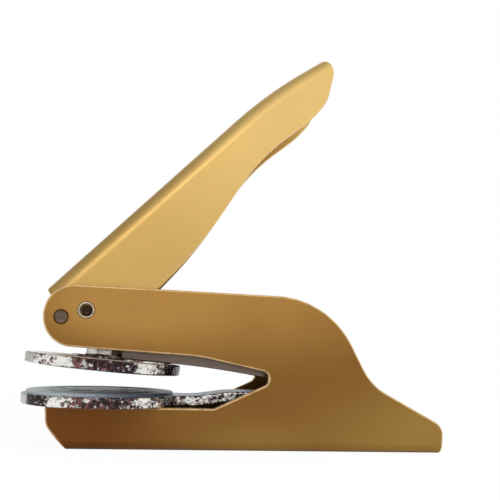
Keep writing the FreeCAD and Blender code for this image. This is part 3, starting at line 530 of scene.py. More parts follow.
def worked_steel(name, colour, darker, roughness=0.32, grain=900.0, stretch=None, metallic=1.0,
                 spots=()):
    """Steel with a grain, a slow change of tone, lighter edges from wear, and spots of painted light and
    shade where given.
    """
    made, tree, shader = shading(name)
    cloud = noise_of(tree, 110.0, 4.0, 0.6)
    tone = painted_light_and_shade(tree, blended(tree, span(tree, cloud, 0.3, 0.7), colour, darker), *spots)
    lines = noise_of(tree, grain, 3.0, 0.6, stretch)
    tone = blended(tree, span(tree, lines, 0.35, 0.7, 0.0, 0.4), tone, toned(darker, 0.6))
    tone = blended(tree, times(tree, edge_share(tree), 0.6), tone, toned(colour, 1.6))
    join(tree, tone, shader.inputs["Base Color"])
    shader.inputs["Metallic"].default_value = metallic
    join(tree, span(tree, lines, 0.3, 0.7, roughness - 0.07, roughness + 0.1), shader.inputs["Roughness"])
    bumps(tree, shader, (lines, 0.3, 0.00005), (cloud, 0.15, 0.0001))
    return made


# Name, colour, darker tone, roughness, and scale and stretch of the grain.
PLAIN_STEELS = {
    "pin_steel": ("Turned pin end", (0.17, 0.125, 0.10), (0.09, 0.065, 0.05), 0.34, 1500.0),
    "bright_steel": ("Zinc plate", (0.66, 0.66, 0.65), (0.45, 0.45, 0.46), 0.26, 1100.0),
    "dark_steel": ("Blackened steel", (0.09, 0.085, 0.085), (0.04, 0.04, 0.045), 0.42),
    "arm_steel": ("Dark bar steel", (0.13, 0.10, 0.085), (0.07, 0.05, 0.04), 0.34, 700.0, (0.15, 1.0, 1.0)),
    "chrome_boss": ("Smooth chrome", (0.72, 0.70, 0.66), (0.52, 0.49, 0.45), 0.17, 1200.0),
    "spring_wire": ("Drawn wire", (0.55, 0.54, 0.52), (0.34, 0.33, 0.32), 0.22, 1600.0),
    "bronze": ("Sintered bronze", (0.50, 0.30, 0.13), (0.30, 0.17, 0.07), 0.45, 1300.0),
}
OTHER_FINISHES = {
    "gold_body": lambda look: lacquer(
        "Gold lacquer, body", look.body_gold_painted_shade, look.body_edge_wear_and_highlight,
        # Painted light and shade on the body: lighter spots at the low rear end, at the middle of the base
        # and high on the cheeks, and a darker reddish spot low at the front as the holders' shadow.
        ((112, 2), 6, 30, (0.30, 0.175, 0.038)), ((50, 0), 3, 14, (0.26, 0.14, 0.029)),
        ((40, 54), 2, 36, look.body_gold_painted_light), ((8, 46), 5, 19, look.body_gold_painted_light),
        ((-13, 6), 6, 20, (0.14, 0.042, 0.005)), stretch=2.2),
    "gold_handle": lambda look: lacquer(
        "Gold lacquer, handle", look.handle_gold_painted_shade, look.handle_edge_wear_and_highlight,
        # Painted light: the handle's lacquer lightens towards its tip.
        ((75, 125), 20, 95, look.handle_gold_painted_light)),
    # The rivet's dark brown also paints the shade round the lip's outer edge; the beige ring paints the
    # highlight on the rolled lip, and the dark spot the shade inside the hollow.
    "nickel": lambda look: worked_steel(
        "Nickel plate", (0.16, 0.10, 0.055), (0.09, 0.055, 0.03), 0.16, 1100.0,
        spots=(((PIVOT.x, PIVOT.z), 2.35, 2.6, (0.60, 0.50, 0.36)),
               ((PIVOT.x, PIVOT.z), 1.55, 1.95, (0.035, 0.018, 0.012)))),
    # The bands paint reflections along the lower rim, over its real bright chrome and stains.
    "chrome_plate": lambda look: rough_chrome(
        "Rough chrome, lower", look.casting_face, look.casting_bright, look.casting_stain, look.casting_pit,
        (-24.9, (0.5, 0.0, 1.0)), (-22.3, (0.5, 0.0, 1.0)), (-21.6, (0.1, 0.1, 0.0)),
        (-16.0, (0.3, 0.2, 0.0)), (-14.5, (0.6, 0.3, 0.0)), (-9.0, (0.56, 0.5, 0.0)),
        (-7.0, (0.22, 0.6, 0.0)), (-3.0, (0.28, 0.4, 0.0)), (10.0, (0.3, 0.3, 0.0)),
        (12.5, (0.6, 0.3, 0.0)), (20.0, (0.54, 0.4, 0.0)), (23.0, (0.45, 0.5, 0.0)),
        (30.0, (0.5, 0.3, 0.0))),
    # The upper holder's face colour is a lighter copy of the lower's satin face: painted reflection on its
    # top. The bands paint reflections along the upper rim, over its real bright chrome and stains.
    "chrome_upper": lambda look: rough_chrome(
        "Rough chrome, upper", (0.70, 0.66, 0.58), look.casting_bright, look.casting_stain, look.casting_pit,
        (-24.9, (0.5, 0.0, 1.0)), (-20.6, (0.5, 0.0, 1.0)), (-20.2, (0.5, 0.5, 0.0)),
        (-14.0, (0.5, 0.5, 0.0)), (-12.5, (0.62, 0.3, 0.0)), (-8.5, (0.56, 0.5, 0.0)),
        (-7.0, (0.25, 0.6, 0.0)), (-2.0, (0.2, 0.45, 0.0)), (0.0, (0.2, 0.3, 0.0)),
        (10.0, (0.24, 0.25, 0.0)), (12.0, (0.56, 0.3, 0.0)), (16.0, (0.56, 0.5, 0.0)),
        (19.0, (0.42, 0.6, 0.0)), (23.0, (0.15, 0.4, 0.0))),
    # A lighter spot at the front end paints a reflection on the dies.
    "die_metal": lambda look: worked_steel(
        "Die metal", (0.055, 0.066, 0.082), (0.045, 0.055, 0.068), 0.38, 1400.0, metallic=0.55,
        spots=(((-26, 18), 8, 40, (0.50, 0.55, 0.58)),)),
}
FINISHES = {}


def finish_of(slot):
    """The finish of a material slot, made when first asked for."""
    if slot not in FINISHES:
        if slot in PLAIN_STEELS:
            FINISHES[slot] = worked_steel(*PLAIN_STEELS[slot])
        else:
            FINISHES[slot] = OTHER_FINISHES[slot](bpy.context.scene.seal_embosser)
    return FINISHES[slot]


def painted(made, slot):
    made.data.materials.clear()
    made.data.materials.append(finish_of(slot))
    return made


def carried(*names):
    """Gives solids that keep their own shape their slot's finish."""
    slots = {part["node"]: part["material_slot"] for part in frame["record"]["subparts"]}
    for name in names:
        node = frame["nodes"][name]
        finish = finish_of(slots[name])
        if not node.material_slots:
            node.data.materials.append(finish)
        for holder in node.material_slots:
            holder.material = finish


# ---------------------------------------------------------------- what a user would change
class EmbosserLook(bpy.types.PropertyGroup):
    """Sizes and colours of the embosser's visible pieces."""

    body_edge_radius: FloatProperty(
        name="Body edge", description="Rounding of the body sheet's outer edges",
        default=0.6 * MM, min=0.1 * MM, max=0.9 * MM, unit="LENGTH", subtype="DISTANCE")
    handle_edge_radius: FloatProperty(
        name="Handle edge", description="Rounding of the handle sheet's outer edges",
        default=0.4 * MM, min=0.1 * MM, max=0.8 * MM, unit="LENGTH", subtype="DISTANCE")
    casting_depth: FloatProperty(
        name="Casting roughness", description="How deep the rough edges of the die holders are",
        default=0.22 * MM, min=0.0, max=0.5 * MM, unit="LENGTH", subtype="DISTANCE")
    casting_grain: FloatProperty(
        name="Casting grain", description="Size of the lumps on the die holders' edges",
        default=1.1 * MM, min=0.3 * MM, max=4 * MM, unit="LENGTH", subtype="DISTANCE")
    spring_turns: IntProperty(
        name="Spring turns", description="Turns of the return spring, its closed ends counted",
        default=5, min=3, max=12)
    # Lit tone of the body's lacquer: painted light high on the cheeks.
    body_gold_painted_light: FloatVectorProperty(
        name="Body gold, light", description="Lacquer near the top of the body",
        default=(0.42, 0.222, 0.054), size=3, min=0, max=1, subtype="COLOR")
    # Base tone of the body's lacquer, darker as painted shade towards the base.
    body_gold_painted_shade: FloatVectorProperty(
        name="Body gold, dark", description="Lacquer near the base of the body",
        default=(0.21, 0.096, 0.018), size=3, min=0, max=1, subtype="COLOR")
    # Edge colour: wear, and also a painted highlight along the rounded edges.
    body_edge_wear_and_highlight: FloatVectorProperty(
        name="Body gold, worn", description="Worn edges of the body",
        default=(0.84, 0.58, 0.30), size=3, min=0, max=1, subtype="COLOR")
    # Lit tone of the handle's lacquer: painted light towards its tip.
    handle_gold_painted_light: FloatVectorProperty(
        name="Handle gold, light", description="Lacquer near the tip of the handle",
        default=(0.70, 0.475, 0.165), size=3, min=0, max=1, subtype="COLOR")
    # Base tone of the handle's lacquer, darker as painted shade towards its root.
    handle_gold_painted_shade: FloatVectorProperty(
        name="Handle gold, dark", description="Lacquer near the root of the handle",
        default=(0.56, 0.355, 0.108), size=3, min=0, max=1, subtype="COLOR")
    # Edge colour: wear, and also a painted highlight along the rounded edges.
    handle_edge_wear_and_highlight: FloatVectorProperty(
        name="Handle gold, worn", description="Worn edges of the handle",
        default=(0.80, 0.58, 0.28), size=3, min=0, max=1, subtype="COLOR")
    casting_face: FloatVectorProperty(
        name="Casting, faces", description="Satin faces of the die holders",
        default=(0.20, 0.25, 0.30), size=3, min=0, max=1, subtype="COLOR")
    casting_bright: FloatVectorProperty(
        name="Casting, bright", description="Bright chrome on the rough edges",
        default=(0.84, 0.83, 0.79), size=3, min=0, max=1, subtype="COLOR")
    casting_stain: FloatVectorProperty(
        name="Casting, stained", description="Brown stains on the rough edges",
        default=(0.17, 0.075, 0.068), size=3, min=0, max=1, subtype="COLOR")
    casting_pit: FloatVectorProperty(
        name="Casting, pits", description="Dark pits of the rough edges",
        default=(0.03, 0.02, 0.023), size=3, min=0, max=1, subtype="COLOR")
    lamp_power: FloatProperty(
        name="Lamp power", description="Power of the soft lamp in front; the strip lamp has a tenth of it",
        default=2.4, min=0.0, max=50.0, unit="POWER")
    floor_colour: FloatVectorProperty(
        name="Floor", description="Colour of the pale floor",
        default=(0.93, 0.93, 0.93), size=3, min=0, max=1, subtype="COLOR")


# ---------------------------------------------------------------- folded sheets
def fold_out(depth, half, radius):
    """Distance across a blank, from its middle, of a point that deep beside the fold."""
    if depth < radius:
        return half - radius + radius * math.acos(max(-1.0, 1 - depth / radius))
    return half - radius + radius * math.pi / 2 + depth - radius


def folded(across, inward, half, radius):
    """(y, depth) of a point of a blank that is folded into a channel."""
    way = -1 if across < 0 else 1
    past = abs(across) - (half - radius)
    if past <= 0:
        return across, inward
    turn = past / radius
    if turn < math.pi / 2:
        bend = radius - inward
        return way * (half - radius + bend * math.sin(turn)), radius - bend * math.cos(turn)
    return way * (half - inward), radius + past - radius * math.pi / 2


def fold_lines(half, radius, steps=8):
    arc = radius * math.pi / 2
    lines = []
    for k in range(steps + 1):
        at = half - radius + arc * k / steps
        lines.extend([("v", at), ("v", -at)])
    return lines


def channel_blank(side, half, radius):
    """Flat blank from the side outline (x, depth) of one wall: that wall, the web, the other wall."""
    wall = [Vector((x, fold_out(depth, half, radius))) for x, depth in side]
    points = wall + [Vector((p.x, -p.y)) for p in reversed(wall)]
    clean = [points[0]]
    for point in points[1:]:
        if (point - clean[-1]).length > 0.02:
            clean.append(point)
    return clean


def cut_by(made, cutter_data):
    """Takes the cutter's shape out of the piece."""
    cutter = bpy.data.objects.new("cutter", cutter_data)
    bpy.context.scene.collection.objects.link(cutter)
    step = made.modifiers.new("Cut", "BOOLEAN")
    step.object = cutter
    step.operation = "DIFFERENCE"
    step.solver = "EXACT"
    bpy.context.view_layer.update()
    result = bpy.data.meshes.new_from_object(made.evaluated_get(bpy.context.evaluated_depsgraph_get()))
    made.modifiers.remove(step)
    made.data = result
    bpy.data.objects.remove(cutter)


class EMBOSSER_OT_body_sheet(bpy.types.Operator):
    """Folded body with two cheeks and rounded edges"""

    bl_idname = "embosser.body_sheet"
    bl_label = "Body sheet"

    def execute(self, context):
        look = context.scene.seal_embosser
        rear = (110.0, 0.0)
        corners = [
            (-9.5, 0.0, 0.0), (-15.5, 7.15, 5.0), (-16.0, 13.0, 0.9), (35.6, 13.0, 1.0), (57.9, 23.45, 2.4),
            (30.5, 29.0, 60.0), (-18.0, 31.35, 9.28), (-18.0, 50.3, 9.28), (71.7, 48.6, 28.6),
            (86.3, 21.3, 19.0), (110.4, 8.6, 4.5), (*rear, 0.0),
        ]
        side = outline(corners, 0.45)
        side = side[:nearest(side, rear) + 1]
        blank = channel_blank([(p.x, p.y) for p in side], CHEEK, BODY_FOLD)

        def place(u, v, depth):
            y, z = folded(v, depth, CHEEK, BODY_FOLD)
            return Vector((u, y, z))

        rows = edge_rows(BODY_SHEET, look.body_edge_radius / MM, INNER_EDGE)
        data = sheet_data("body_sheet", blank, rows, place, fold_lines(CHEEK, BODY_FOLD))
        made = piece("body_sheet", data, "gold_body", "body", "body_frame")
        for centre, hole, mouth in ((PIVOT, 2.52, 2.6), (STOP, 2.12, 2.5)):
            profile = [(0, -17), (mouth, -17), (mouth, -16), (hole, -15.6),
                       (hole, 15.6), (mouth, 16), (mouth, 17), (0, 17)]
            cut_by(made, turned_data("cutter", profile, crosswise(centre), 64))
        even_shading(painted(made, "gold_body"))
        return {"FINISHED"}


def back_height(x):
    """Height of the handle's back above its pivot: level, then drooping to the tip."""
    start, slope = HANDLE_LENGTH - DROOP_LENGTH, math.atan(DROOP / DROOP_LENGTH)
    before = DROOP_BEND * math.tan(slope / 2)
    if x < start - before:
        return HANDLE_BACK
    if x < start - before + DROOP_BEND * math.sin(slope):
        return HANDLE_BACK - DROOP_BEND + math.sqrt(DROOP_BEND ** 2 - (x - start + before) ** 2)
    return HANDLE_BACK - (x - start) * math.tan(slope)


def nearest(points, spot):
    """Index of the point nearest to a spot."""
    return min(range(len(points)), key=lambda i: (points[i] - Vector(spot)).length)


class EMBOSSER_OT_handle_sheet(bpy.types.Operator):
    """Folded handle with its walls and drooping nose"""

    bl_idname = "embosser.handle_sheet"
    bl_label = "Handle sheet"

    def execute(self, context):
        look = context.scene.seal_embosser
        front = (Matrix.Rotation(math.radians(HANDLE_RAISED), 3, "Y") @ (STOP - PIVOT)).x + 2.15
        tip = (HANDLE_LENGTH, HANDLE_BACK - DROOP)
        corners = [
            (front, HANDLE_BACK, 1.2), (front, front, -front), (1.0, -7.95, 2.0), (8.0, -10.95, 1.5),
            (40.2, -9.33, 150.0), (74.5, -1.2, 71.0), (96.4, -3.45, 36.0), (104.7, -2.75, 12.0),
            (HANDLE_LENGTH, 4.0, 6.0), (*tip, 1.2),
        ]
        side = outline(corners, 0.45)
        side = side[nearest(side, (front, HANDLE_BACK)):nearest(side, tip) + 1]
        wall = [(p.x, max(0.0, back_height(p.x) - p.y)) for p in side]
        blank = channel_blank(wall, HANDLE_HALF, HANDLE_FOLD)

        def place(u, v, depth):
            y, d = folded(v, depth, HANDLE_HALF, HANDLE_FOLD)
            return RAISE @ Vector((u, y, back_height(u) - d))

        rows = edge_rows(HANDLE_SHEET, look.handle_edge_radius / MM, INNER_EDGE)
        cuts = fold_lines(HANDLE_HALF, HANDLE_FOLD) + [("u", 77.0 + 2.0 * k) for k in range(17)]
        made = piece("handle_sheet", sheet_data("handle_sheet", blank, rows, place, cuts),
                     "gold_handle", "handle", "handle_shell")
        holes = [(PIVOT, BUSH, 64)] + [(RAISE @ Vector((x, 0, z)), CAM_RIVET, 48) for x, z in CAM_RIVETS]
        for centre, hole, count in holes:
            profile = [(0, -15), (hole, -15), (hole, 15), (0, 15)]
            cut_by(made, turned_data("cutter", profile, crosswise(centre), count))
        even_shading(painted(made, "gold_handle"))
        return {"FINISHED"}


# ---------------------------------------------------------------- pins
class EMBOSSER_OT_cheek_pins(bpy.types.Operator):
    """Hollow pivot rivet with rolled lips, stop pin, washers and bush"""

    bl_idname = "embosser.cheek_pins"
    bl_label = "Pivot and stop"

    def execute(self, context):
        # One end of the rivet, from the hollow's floor to the rolled lip.
        half = [(0.0, 13.0), (1.0, 13.25), (1.75, 13.6), (1.93, 13.75), (1.95, 14.0), (1.95, 15.85)]
        half += quarter(2.25, 15.94, 0.3, 180, 60, 6)
        half += [(2.62, 16.13), (2.72, 16.06), (2.74, 15.99), (2.5, 15.97)]
        profile = half + [(r, -z) for r, z in reversed(half)]
        painted(piece("hollow_rivet", turned_data("hollow_rivet", profile, crosswise(PIVOT), 64, 40.0),
                      "nickel", "body", "pivot_rivet"), "nickel")
        # One end of the pin, with the rings that a tool has left.
        end = [(0.0, 15.62), (0.25, 15.66), (0.5, 15.72), (0.75, 15.66), (1.0, 15.72), (1.25, 15.66),
               (1.5, 15.74), (1.7, 15.78), (1.85, 15.72), (2.0, 15.6), (2.1, 15.42)]
        profile = end + [(r, -z) for r, z in reversed(end)]
        painted(piece("stop_bar", turned_data("stop_bar", profile, crosswise(STOP), 64, 60.0),
                      "pin_steel", "body", "stop_pin"), "pin_steel")
        carried("pivot_washers", "pivot_bush")
        return {"FINISHED"}


# ---------------------------------------------------------------- castings
def neck_blank():
    """Plan of the lower holder: disc, hollow corners and tongue."""
    grid, half = 0.35, TONGUE_HALF
    centre_x = math.sqrt((DISC + NECK) ** 2 - (half + NECK) ** 2)
    turn = math.atan2(half + NECK, centre_x)
    sweep = 2 * math.pi - 2 * turn
    steps = math.ceil(DISC * sweep / grid)
    round_disc = [turn + sweep * k / steps for k in range(steps + 1)]
    points = [Vector((DISC * math.cos(a), DISC * math.sin(a))) for a in round_disc]
    hollow = [turn - math.pi + (math.pi / 2 - turn) * k / 8 for k in range(1, 9)]
    corner = [Vector((centre_x + NECK * math.cos(a), half + NECK + NECK * math.sin(a))) for a in hollow]
    points.extend(Vector((p.x, -p.y)) for p in corner)
    start = centre_x + 0.5
    tongue = outline([(start, -half, 0), (TONGUE_END, -half, 0.6), (TONGUE_END, half, 0.6),
                      (start, half, 0)], grid)
    points.extend(tongue[:nearest(tongue, (start, half)) + 1])
    points.extend(reversed(corner))
    return points


def joggle(x):
    """How far the tongue has risen at x."""
    share = min(1.0, max(0.0, (x - JOGGLE_START) / JOGGLE_LENGTH))
    return JOGGLE_RISE * (3 * share ** 2 - 2 * share ** 3)


class EMBOSSER_OT_lower_holder(bpy.types.Operator):
    """Lower die holder with its tongue: a rough chromed casting"""

    bl_idname = "embosser.lower_holder"
    bl_label = "Lower holder"

    def execute(self, context):
        look = context.scene.seal_embosser
        skin = cast_surface(look.casting_depth / MM, look.casting_grain / MM)
        rows = edge_rows(PLATE_TOP - PLATE_LOW, RIM_EDGE, RIM_EDGE, RIM_ROWS)

        def place(u, v, depth):
            return Vector((u, v, PLATE_TOP - depth + joggle(u)))

        cuts = [("u", 28.0 + k) for k in range(18)]
        data = sheet_data("lower_casting", neck_blank(), rows, place, cuts, skin, 50.0)
        made = piece("lower_casting", data, "chrome_plate", "body", "lower_plate")
        recess, floor, above = LOWER_DIE + DIE_ROOM, 15.7, 18.5
        seat = [(0, floor), (recess, floor), (recess, above), (0, above)]
        cut_by(made, turned_data("cutter", seat, upright(0, 0), 128))
        even_shading(painted(made, "chrome_plate"))
        return {"FINISHED"}


def seat_plan():
    """Plan of the arm's raised seat: round in front, ending on a circle behind."""
    half = ARM_HALF + 0.5
    turn = math.asin(half / ARM_FLAT)
    rear = [ARM_FLAT * Vector((math.cos(turn * k / 16), math.sin(turn * k / 16))) for k in range(-16, 17)]
    front = [half * Vector((-math.sin(math.pi * k / 48), math.cos(math.pi * k / 48))) for k in range(49)]
    return rear + front


class EMBOSSER_OT_upper_holder(bpy.types.Operator):
    """Upper die holder with its boss and pad"""

    bl_idname = "embosser.upper_holder"
    bl_label = "Upper holder"

    def execute(self, context):
        look = context.scene.seal_embosser
        skin = cast_surface(look.casting_depth / MM, look.casting_grain / MM)
        count = 440
        low, high = UPPER_LOW, UPPER_TOP
        recess, floor = UPPER_DIE + DIE_ROOM, low + 0.9
        loops = [circle(0, floor, count), circle(recess, floor, count), circle(recess, low, count)]
        edges = []
        rows = edge_rows(high - low, RIM_EDGE, RIM_EDGE, RIM_ROWS)
        rim = [(inset, high - depth) for inset, depth in rows]
        for k, (inset, height) in enumerate(reversed(rim)):
            rough = skin if 0 < k < len(rim) - 1 else None
            loops.append(circle(DISC - inset, height, count, rough))
            if rough:
                edges.append(len(loops) - 1)
        collar, boss, fillet, pocket = 7.5, 6.0, 0.8, 4.52
        brim, bed = PAD_TOP - 0.8, PAD_TOP - 1.6
        profile = [(collar, high), (collar, LAND_TOP - 0.02), (6.9, LAND_TOP)]
        profile += [(boss + fillet - fillet * math.sin(a), LAND_TOP + fillet * (1 - math.cos(a)))
                    for a in [math.radians(15 * k) for k in range(1, 7)]]
        profile += [(boss, LAND_TOP + 4.0), (boss, PAD_TOP - 1.05), (5.93, PAD_TOP - 0.9),
                    (5.75, brim), (4.6, brim), (pocket, PAD_TOP - 1.0), (pocket, bed), (0, bed)]
        loops += [circle(r, z, count) for r, z in profile]
        data = stacked_data("upper_casting", loops, LIFT, 50.0, edges)
        made = piece("upper_casting", data, "chrome_plate", "arm", "upper_disc")
        even_shading(painted(made, "chrome_upper"))
        made.data.materials.append(finish_of("chrome_boss"))
        for face in made.data.polygons:
            spot = face.center / MM
            if math.hypot(spot.x, spot.y) < 6.6 and spot.z > (LIFT @ Vector((0, 0, LAND_TOP))).z + 0.3:
                face.material_index = 1

        def place(u, v, depth):
            return LIFT @ Vector((u, v, LAND_TOP - depth))

        data = sheet_data("arm_seat", seat_plan(), edge_rows(0.65, 0.2, 0.05), place)
        even_shading(painted(piece("arm_seat", data, "chrome_plate", "arm"), "chrome_upper"))
        pad = [(0, bed), (4.48, bed), (4.48, PAD_TOP - 0.25)]
        pad += quarter(4.23, PAD_TOP - 0.25, 0.25, 0, 90) + [(0, PAD_TOP)]
        data = turned_data("bearing_pad", pad, LIFT, 72)
        painted(piece("bearing_pad", data, "dark_steel", "arm", "press_pad"), "dark_steel")
        return {"FINISHED"}


def star_reach(angle, outer, inner, points):
    """Radius of a star's outline in a direction."""
    sector = math.pi / points
    turn = abs((angle + sector) % (2 * sector) - sector)
    tip = Vector((outer, 0.0))
    hollow = Vector((inner * math.cos(sector), inner * math.sin(sector)))
    ray = Vector((math.cos(turn), math.sin(turn)))
    run = hollow - tip
    return (tip.x * run.y - tip.y * run.x) / (ray.x * run.y - ray.y * run.x)


def star_loop(outer, inner, height, count, points=8):
    loop = []
    for i in range(count):
        angle = 2 * math.pi * i / count
        out = star_reach(angle, outer, inner, points)
        loop.append((out * math.cos(angle), out * math.sin(angle), height))
    return loop


def die_loops(radius, back, face, relief, grow, count=256):
    """Loops of a die from the back to the middle of its face; relief is up or down from the face."""
    way = 1 if face > back else -1
    loops = [circle(0, back, count), circle(radius, back, count), circle(radius, face - way * 0.3, count),
             circle(radius - 0.09, face - way * 0.09, count), circle(radius - 0.3, face, count)]
    for share in (0.86, 0.76):
        outer = UPPER_DIE * share + grow
        inner = UPPER_DIE * share - 0.7 - grow
        loops += [circle(outer + 0.1, face, count), circle(outer, face + relief * 0.85, count),
                  circle(outer - 0.1, face + relief, count), circle(inner + 0.1, face + relief, count),
                  circle(inner, face + relief * 0.85, count), circle(inner - 0.1, face, count)]
    outer, inner = UPPER_DIE * 0.58 + 2 * grow, UPPER_DIE * 0.28 + grow
    loops += [star_loop(outer + 0.15, inner + 0.1, face, count),
              star_loop(outer - 0.05, inner - 0.03, face + relief * 0.85, count),
              star_loop(outer - 0.3, inner - 0.15, face + relief, count)]
    loops.append(circle(0, face + relief, count))
    return loops


class EMBOSSER_OT_dies(bpy.types.Operator):
    """Lower die with a raised figure and upper die with the same figure sunk in"""

    bl_idname = "embosser.dies"
    bl_label = "Dies"

    def execute(self, context):
        lower = die_loops(LOWER_DIE, PLATE_TOP - 0.58, DIE_TOP, 0.15, 0.0)
        upper = die_loops(UPPER_DIE, UPPER_LOW + 0.88, UPPER_FACE, 0.25, 0.1)
        for name, loops, place, body, node in (("lower_stamp", lower, Matrix(), "body", "lower_die"),
                                               ("upper_stamp", upper, LIFT, "arm", "upper_die")):
            data = stacked_data(name, loops, place, 40.0)
            even_shading(painted(piece(name, data, "die_metal", body, node), "die_metal"))
        return {"FINISHED"}


# ---------------------------------------------------------------- arm
class EMBOSSER_OT_press_bar(bpy.types.Operator):
    """Bent bar of the upper jaw, its eye and its riveted end"""

    bl_idname = "embosser.press_bar"
    bl_label = "Press bar"

    def execute(self, context):
        centre = LAND_TOP + ARM / 2
        drop = centre - HINGE.z
        run = HINGE.x - ARM_FLAT
        curve = (run ** 2 + drop ** 2) / (2 * drop)
        sweep = math.asin(run / curve)
        top = curve + ARM / 2
        end = ARM_FLAT + top * sweep
        start = 5.6
        blank = outline([(start, -ARM_HALF, 0.8), (end, -ARM_HALF, 0.2), (end, ARM_HALF, 0.2),
                         (start, ARM_HALF, 0.8)], 0.8)

        def place(u, v, depth):
            if u <= ARM_FLAT:
                return LIFT @ Vector((u, v, LAND_TOP + ARM - depth))
            angle = (u - ARM_FLAT) / top
            out = top - depth
            x, z = ARM_FLAT + out * math.sin(angle), centre - curve + out * math.cos(angle)
            return LIFT @ Vector((x, v, z))

        cuts = [("u", ARM_FLAT + (end - ARM_FLAT) * k / 30) for k in range(30)]
        data = sheet_data("press_bar", blank, edge_rows(ARM, 0.35, 0.35), place, cuts)
        made = piece("press_bar", data, "arm_steel", "arm", "press_arm")
        hollow = [(0, LAND_TOP - 1), (6.9, LAND_TOP - 1), (6.9, LAND_TOP + 6), (0, LAND_TOP + 6)]
        cut_by(made, turned_data("cutter", hollow, LIFT, 96))
        wall = [(2.74, -ARM_HALF + 0.3), (3.0, -ARM_HALF), (4.14, -ARM_HALF), (4.44, -ARM_HALF + 0.3),
                (4.44, ARM_HALF - 0.3), (4.14, ARM_HALF), (3.0, ARM_HALF), (2.74, ARM_HALF - 0.3)]
        eye = turned_data("bar_eye", wall, LIFT @ crosswise(HINGE), 72, closed=True)
        even_shading(painted(made, "arm_steel"))
        painted(piece("bar_eye", eye, "arm_steel", "arm"), "arm_steel")
        seat, shank, foot = LAND_TOP + ARM, 1.48, UPPER_LOW + 1.0
        head = [(0, foot), (shank, foot), (shank, seat - 0.05), (2.6, seat), (2.7, seat + 0.1)]
        head += [(2.7 * math.cos(a), seat + 0.1 + 0.75 * math.sin(a)) for a in
                 [math.radians(15 * k) for k in range(1, 6)]] + [(0, seat + 0.86)]
        for name, y in (("rivet_head_front", -6.5), ("rivet_head_rear", 6.5)):
            nodes = ("arm_rivets",) if y < 0 else ()
            data = turned_data(name, head, LIFT @ upright(15.0, y), 48)
            painted(piece(name, data, "bright_steel", "arm", *nodes), "bright_steel")
        carried("arm_bush", "spring_saddle")
        return {"FINISHED"}


# ---------------------------------------------------------------- spring
class EMBOSSER_OT_return_coil(bpy.types.Operator):
    """Coil spring with closed ends"""

    bl_idname = "embosser.return_coil"
    bl_label = "Return coil"

    def execute(self, context):
        look = context.scene.seal_embosser
        low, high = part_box("return_spring")[0][2] / MM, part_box("return_spring")[1][2] / MM
        wire, radius, x = 0.6, 3.9, 62.0
        turns = look.spring_turns
        low_line, high_line = low + wire, high - wire
        closed = 1.25
        active = (high_line - low_line - 2 * closed) / (turns - 2)
        steps, sides = 40, 12
        heights = []
        for k in range(turns * steps + 1):
            at = k / steps
            rise = min(at, 1.0) * closed + min(max(at - 1.0, 0.0), turns - 2.0) * active
            rise += max(at - (turns - 1.0), 0.0) * closed
            heights.append(low_line + rise)
        smooth = list(heights)
        for i in range(6, len(heights) - 6):
            smooth[i] = sum(heights[i - 6:i + 7]) / 13
        build = bmesh.new()
        rings = []
        for k, height in enumerate(smooth):
            angle = 2 * math.pi * k / steps
            out = Vector((math.cos(angle), math.sin(angle), 0))
            spot = Vector((x, 0, height)) + out * radius
            ring = []
            for i in range(sides):
                a = 2 * math.pi * i / sides
                point = spot + out * wire * math.cos(a) + Vector((0, 0, wire * math.sin(a)))
                ring.append(build.verts.new(point * MM))
            rings.append(ring)
        for first, second in zip(rings, rings[1:]):
            stitched(build, first, second)
        build.faces.new(rings[0])
        build.faces.new(list(reversed(rings[-1])))
        data = finished(build, "return_coil", 50.0)
        made = piece("return_coil", data, "spring_wire", "body", "return_spring")
        painted(made, "spring_wire")
        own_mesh(made)
        carried("spring_cup")
        return {"FINISHED"}


class EMBOSSER_OT_inner_parts(bpy.types.Operator):
    """Hinge, cam, posts and screws inside the body"""

    bl_idname = "embosser.inner_parts"
    bl_label = "Inner parts"

    def execute(self, context):
        carried("hinge_bracket", "hinge_pin", "hinge_clips", "support_posts", "base_screws", "plate_screws",
                "cam_block", "cam_rivets")
        return {"FINISHED"}


# ---------------------------------------------------------------- studio
def low_camera(scene):
    """Camera low in front of the press, looking slightly up."""
    yaw, pitch, roll = math.radians(8.18), math.radians(6.84), math.radians(1.65)
    ahead = Vector((math.sin(yaw) * math.cos(pitch), math.cos(yaw) * math.cos(pitch), math.sin(pitch)))
    right = Vector((math.cos(yaw), -math.sin(yaw), 0))
    up = right.cross(ahead)
    turned_right = right * math.cos(roll) + up * math.sin(roll)
    turned_up = -right * math.sin(roll) + up * math.cos(roll)
    data = bpy.data.cameras.new("Camera")
    data.lens = 57.6
    data.sensor_width = 36.0
    data.clip_start = 0.01
    camera = bpy.data.objects.new("Camera", data)
    rotation = Matrix((turned_right, turned_up, -ahead)).transposed().to_4x4()
    camera.matrix_world = Matrix.Translation(Vector((9.2, -268.0, 32.76)) * MM) @ rotation
    scene.collection.objects.link(camera)
    scene.camera = camera


def soft_lamp(name, place, towards, width, depth, power, mirrored):
    """A rectangle of light; mirrored says whether it shows in reflections."""
    data = bpy.data.lights.new(name, "AREA")
    data.shape = "RECTANGLE"
    data.size = width
    data.size_y = depth
    data.energy = power
    lamp = bpy.data.objects.new(name, data)
    lamp.location = place
    lamp.visible_glossy = mirrored
    lamp.rotation_euler = (Vector(towards) - Vector(place)).to_track_quat("-Z", "Y").to_euler()
    bpy.context.scene.collection.objects.link(lamp)
    return lamp


def ray_kinds(tree):
    """Whether a ray is the camera's own, and whether it is a reflection or passes glass."""
    path = put(tree, "ShaderNodeLightPath")
    mirrored = sums(tree, "MAXIMUM", path.outputs["Is Glossy Ray"], path.outputs["Is Transmission Ray"])
    return path.outputs["Is Camera Ray"], mirrored


